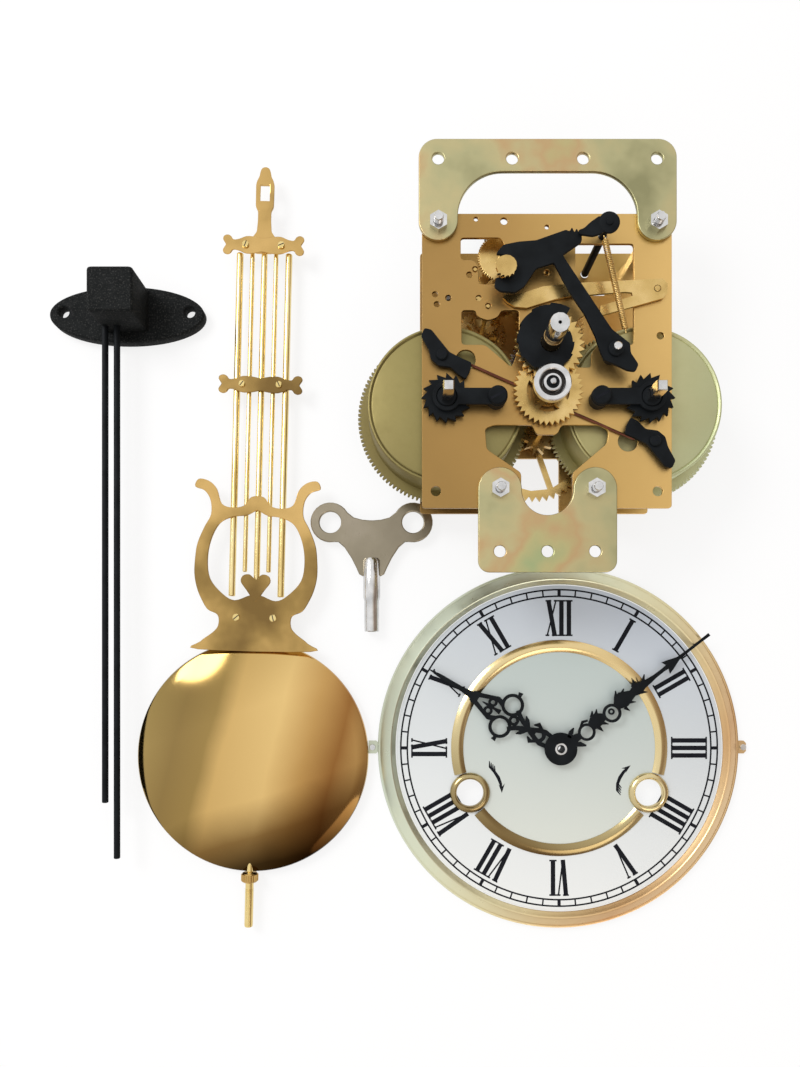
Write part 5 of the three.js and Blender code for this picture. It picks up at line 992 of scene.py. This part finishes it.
# Motion work: the grooved collar, the hour pipe and the hand arbor's end
turned_piece("motion_collar",
             [(0, PLATE_TOP), (2.6, PLATE_TOP), (2.6, 57), (7.6, 57), (7.9, 57.3), (7.9, 59.8), (7.5, 60.2),
              (5.9, 60.2), (5.5, 59.8), (5.4, 57.9), (3.9, 57.9), (3.8, 59.9), (3.5, 60.2), (2.8, 60.2),
              (2.6, 59.9), (2.6, 59.4), (1.3, 59.4), (1.25, 61.2), (0.9, 61.6), (0, 61.65)], MOTION, STEEL,
             replaces=("motion_stud",), sides=72)
# A thin dark ring in the collar's groove: painted shade
turned_piece("motion_collar_groove_shade", [(3.95, 57.95), (5.35, 57.95), (5.35, 58.05), (3.95, 58.05)], MOTION,
             SHADE, sides=60, closed=True)
turned_piece("motion_collar_middle", [(1.3, 59.42), (2.58, 59.42), (2.58, 59.5), (1.3, 59.5)], MOTION, BLACK,
             sides=48, closed=True)
turned_piece("hour_pipe_sleeve", [(3.25, 53.3), (4.16, 53.3), (4.16, 61.7), (3.9, 62.05), (3.25, 62.05)],
             HAND_ARBOR, PIPE, "hour_wheel", sides=56, closed=True)
turned_piece("hand_arbor_sleeve", [(3.22, 62.3), (3.24, 64.9), (4.06, 65), (4.06, 73.5), (3.9, 73.95),
                                   (3.2, 73.95)],
             HAND_ARBOR, STEEL, "hand_arbor", sides=56, closed=True)

# Rack work: the stud, the rack with its saw teeth and long tail, the hook and the gathering disc's cap
rack_shares = [
    (-1.016, 0.812), (-0.954, 0.888), (-0.826, 0.914), (-0.674, 0.926), (-0.42, 1.016), (-0.39, 1),
    (-0.37, 1.04), (-0.35, 0.99), (-0.33, 1.03), (-0.31, 0.98), (-0.29, 1.01), (-0.285, 0.914), (-0.45, 0.8),
    (-0.03, 0.17), (0.124, 0.05), (0.13, -0.03), (0.196, -0.128), (0.172, -0.188), (0.104, -0.18), (0, -0.13),
    (-0.096, -0.092), (-0.132, -0.01), (-0.17, 0.11), (-0.262, 0.3), (-0.4, 0.5), (-0.522, 0.736),
    (-0.674, 0.686), (-0.776, 0.532), (-0.852, 0.482), (-0.978, 0.494), (-1.03, 0.532), (-1.016, 0.61),
    (-0.94, 0.604), (-0.872, 0.632), (-0.852, 0.692), (-0.872, 0.76), (-0.932, 0.796),
]
sheet_cut("rack_plate", [turned_points(rounded(scaled(rack_shares, 50), 0.9), RACK_STUD),
                         circle(RACK_STUD, 2.3, 32)],
          54.1, 55.7, BLACK, "rack", ("rack_lever",), 0.15)
turned_piece("rack_shoulder",
             [(0, PLATE_TOP), (3.4, PLATE_TOP), (3.4, 53.8), (2, 53.8), (2, 56), (3.2, 56), (3.2, 56.7),
              (2.9, 57), (0, 57)], RACK_STUD, BLACK, replaces=("rack_stud",), sides=44)
turned_piece("rack_pin", [(0, 56.9), (1.7, 56.9), (1.7, 59.6), (1.3, 60), (0, 60.02)], RACK_STUD, STEEL,
             sides=36)
hook_shares = [(-0.32, 0.19), (-0.6, -0.01), (-0.79, -0.19), (-0.98, -0.26), (-0.93, -0.38), (-0.51, -0.44),
               (-0.23, -0.36), (0.1, 0)]
sheet_cut("hook_arm", [turned_points(rounded(scaled(hook_shares, 13.5), 0.8), HOOK_ARBOR)], 56.5, 57.88,
          BLACK, "rack_hook", ("rack_hook",), 0.15)
turned_piece("hook_head",
             [(0, BACK_LOW), (0.7, BACK_LOW), (0.7, 15.9), (1.7, 15.9), (1.7, 45.3), (1.4, 45.3), (1.4, 56.5),
              (4.4, 56.5), (4.5, 56.7), (4.5, 57.7), (4.2, 57.9), (1.6, 57.95), (1.4, 58.4), (0, 58.5)],
             HOOK_ARBOR, BLACK, "rack_hook", sides=40)
turned_piece("gathering_cap", [(0, 59), (4.3, 59), (4.25, 59.05), (1.4, 59.06), (1.2, 59.1), (0, 59.1)],
             GATHERING, WHEEL, "gathering_wheel", sides=48)

# A fine wheel and its arbor seen through the upper left window
WARNING = at(MOVEMENT, -18.9, 48.6)
sheet_cut("warning_wheel", [gear_loop(WARNING, 56, 10.6, 9.8), circle(WARNING, 1.4, 24)], 39.6, 40.8, WHEEL,
          edge=0.1)
turned_piece("warning_arbor", [(0, BACK_TOP + 0.1), (1.5, BACK_TOP + 0.1), (1.5, PLATE_LOW - 0.1),
                               (0, PLATE_LOW - 0.1)], WARNING, STEEL, sides=24)

# Rounded stud ends over the pillars' nuts, with a few turns of thread
bm = bmesh.new()
for spot in PILLARS:
    add_lathe(bm, [(1.92, 51.8), (1.98, 54.2), (1.6, 54.8), (0, 54.82), (0, 51.8)], spot, 36, False)
    for k in range(5):
        add_ring(bm, spot, 2.1, 1.9, 52 + k * 0.5, 52.25 + k * 0.5, 28, 0.08)
piece("pillar_stud_ends", bm, STEEL)

# The rack's spring, wound close in fine wire
SPRING_LEVEL, COIL_RADIUS, WIRE_RADIUS = 57.15, 1.15, 0.24
start = Vector((MOVEMENT.x + 22.1, MOVEMENT.y + 48.9, SPRING_LEVEL))
stop = Vector((MOVEMENT.x + 31.5, MOVEMENT.y + 7.8, SPRING_LEVEL))
axis = (stop - start).normalized()
across = axis.cross(Vector((0, 0, 1)))
TURNS, STEPS = 52, 14
curve = bpy.data.curves.new("rack_spring_wire", "CURVE")
curve.dimensions = "3D"
curve.bevel_depth = WIRE_RADIUS * MM
curve.bevel_resolution = 2
curve.use_fill_caps = True
spline = curve.splines.new("POLY")
points = [start]
total = TURNS * STEPS
run = (stop - start).length - 3
for i in range(total + 1):
    ease = min(1, i / STEPS * 2, (total - i) / STEPS * 2)
    w = 2 * pi * i / STEPS
    centre_line = start + axis * (1.5 + run * i / total)
    points.append(centre_line + (across * cos(w) + Vector((0, 0, 1)) * sin(w)) * COIL_RADIUS * ease)
points.append(stop)
spline.points.add(len(points) - 1)
for point, p in zip(spline.points, points):
    point.co = (*(p * MM), 1)
carried(placed("rack_spring_wire", curve), WHEEL, "base", ("rack_spring",))


def emptied(owner):
    """The owner's node tree with no node in it."""
    owner.use_nodes = True
    for node in list(owner.node_tree.nodes):
        owner.node_tree.nodes.remove(node)
    return owner.node_tree


def mixed(tree, share, first, second, out):
    mix = added(tree, "MixShader")
    tree.links.new(share, mix.inputs[0])
    tree.links.new(first.outputs[0], mix.inputs[1])
    tree.links.new(second.outputs[0], mix.inputs[2])
    tree.links.new(mix.outputs[0], out.inputs["Surface"])


# Floor: paper that shows white to the camera and to metal, and keeps the shadows
bm = bmesh.new()
reach = 3000
corners = [(-reach, -reach), (reach, -reach), (reach, reach), (-reach, reach)]
bm.faces.new([vertex(bm, x, y, -0.2) for x, y in corners])
data = bpy.data.meshes.new("floor")
bm.to_mesh(data)
bm.free()
floor = placed("floor", data)
paper = bpy.data.materials.new("pale_paper")
tree = emptied(paper)
out = added(tree, "OutputMaterial")
diffuse = added(tree, "BsdfDiffuse", Color=(0.86, 0.86, 0.87, 1))
glow = added(tree, "Emission", Color=(1, 1, 1, 1))
path = added(tree, "LightPath")
seen = math_node(tree, "MAXIMUM", path.outputs["Is Camera Ray"], path.outputs["Is Glossy Ray"])
mixed(tree, math_node(tree, "MULTIPLY", seen, 0.8), diffuse, glow, out)
data.materials.append(paper)
floor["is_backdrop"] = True

# World: white to the camera, a soft studio with a dim warm side for the light that metal reflects
world = bpy.data.worlds.new("studio")
bpy.context.scene.world = world
tree = emptied(world)
out = added(tree, "OutputWorld")
place = added(tree, "TexCoord")
across = dot_product(tree, place.outputs["Generated"], (0.72, -0.42, -0.1))
soft = ramp(tree, across, [
    (0, (1, 1, 1)), (0.18, (0.86, 0.82, 0.77)), (0.4, (0.42, 0.33, 0.26)), (0.62, (0.3, 0.22, 0.17)),
    (0.85, (0.75, 0.68, 0.6))])
background = added(tree, "Background")
tree.links.new(soft, background.inputs["Color"])
plain = added(tree, "Background", Color=(1, 1, 1, 1))
path = added(tree, "LightPath")
mixed(tree, path.outputs["Is Camera Ray"], background, plain, out)


def lamp(name, place, target, size, power, colour=(1, 1, 1)):
    light = bpy.data.lights.new(name, "AREA")
    light.shape = "DISK"
    light.size = size
    light.energy = power
    light.color = colour
    obj = placed(name, light)
    obj.location = place
    obj.rotation_mode = "QUATERNION"
    obj.rotation_quaternion = (Vector(target) - Vector(place)).to_track_quat("-Z", "Y")


lamp("key_light", (-0.7, 0.5, 0.9), (0, 0, 0), 0.5, 7)
lamp("fill_light", (0.5, -0.9, 0.8), (0.05, -0.05, 0), 0.7, 2.5, (1, 0.95, 0.88))

# Camera: straight above the layout, with the frame shifted up
CAMERA_HEIGHT, HALF_SEEN, SENSOR = 370, 266.75, 36
SHIFT_ROWS, PHOTO_ROWS = 126.5, 1067
camera_data = bpy.data.cameras.new("photo_camera")
camera_data.sensor_width = SENSOR
camera_data.lens = SENSOR / 2 / (HALF_SEEN / CAMERA_HEIGHT)
camera_data.shift_y = SHIFT_ROWS / PHOTO_ROWS
camera_data.clip_start = 0.01
camera_data.clip_end = 20
camera = placed("photo_camera", camera_data)
camera.location = (NADIR.x * MM, NADIR.y * MM, CAMERA_HEIGHT * MM)
bpy.context.scene.camera = camera
bpy.context.scene.view_settings.view_transform = "Standard"

bpy.context.view_layer.update()
low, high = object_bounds()
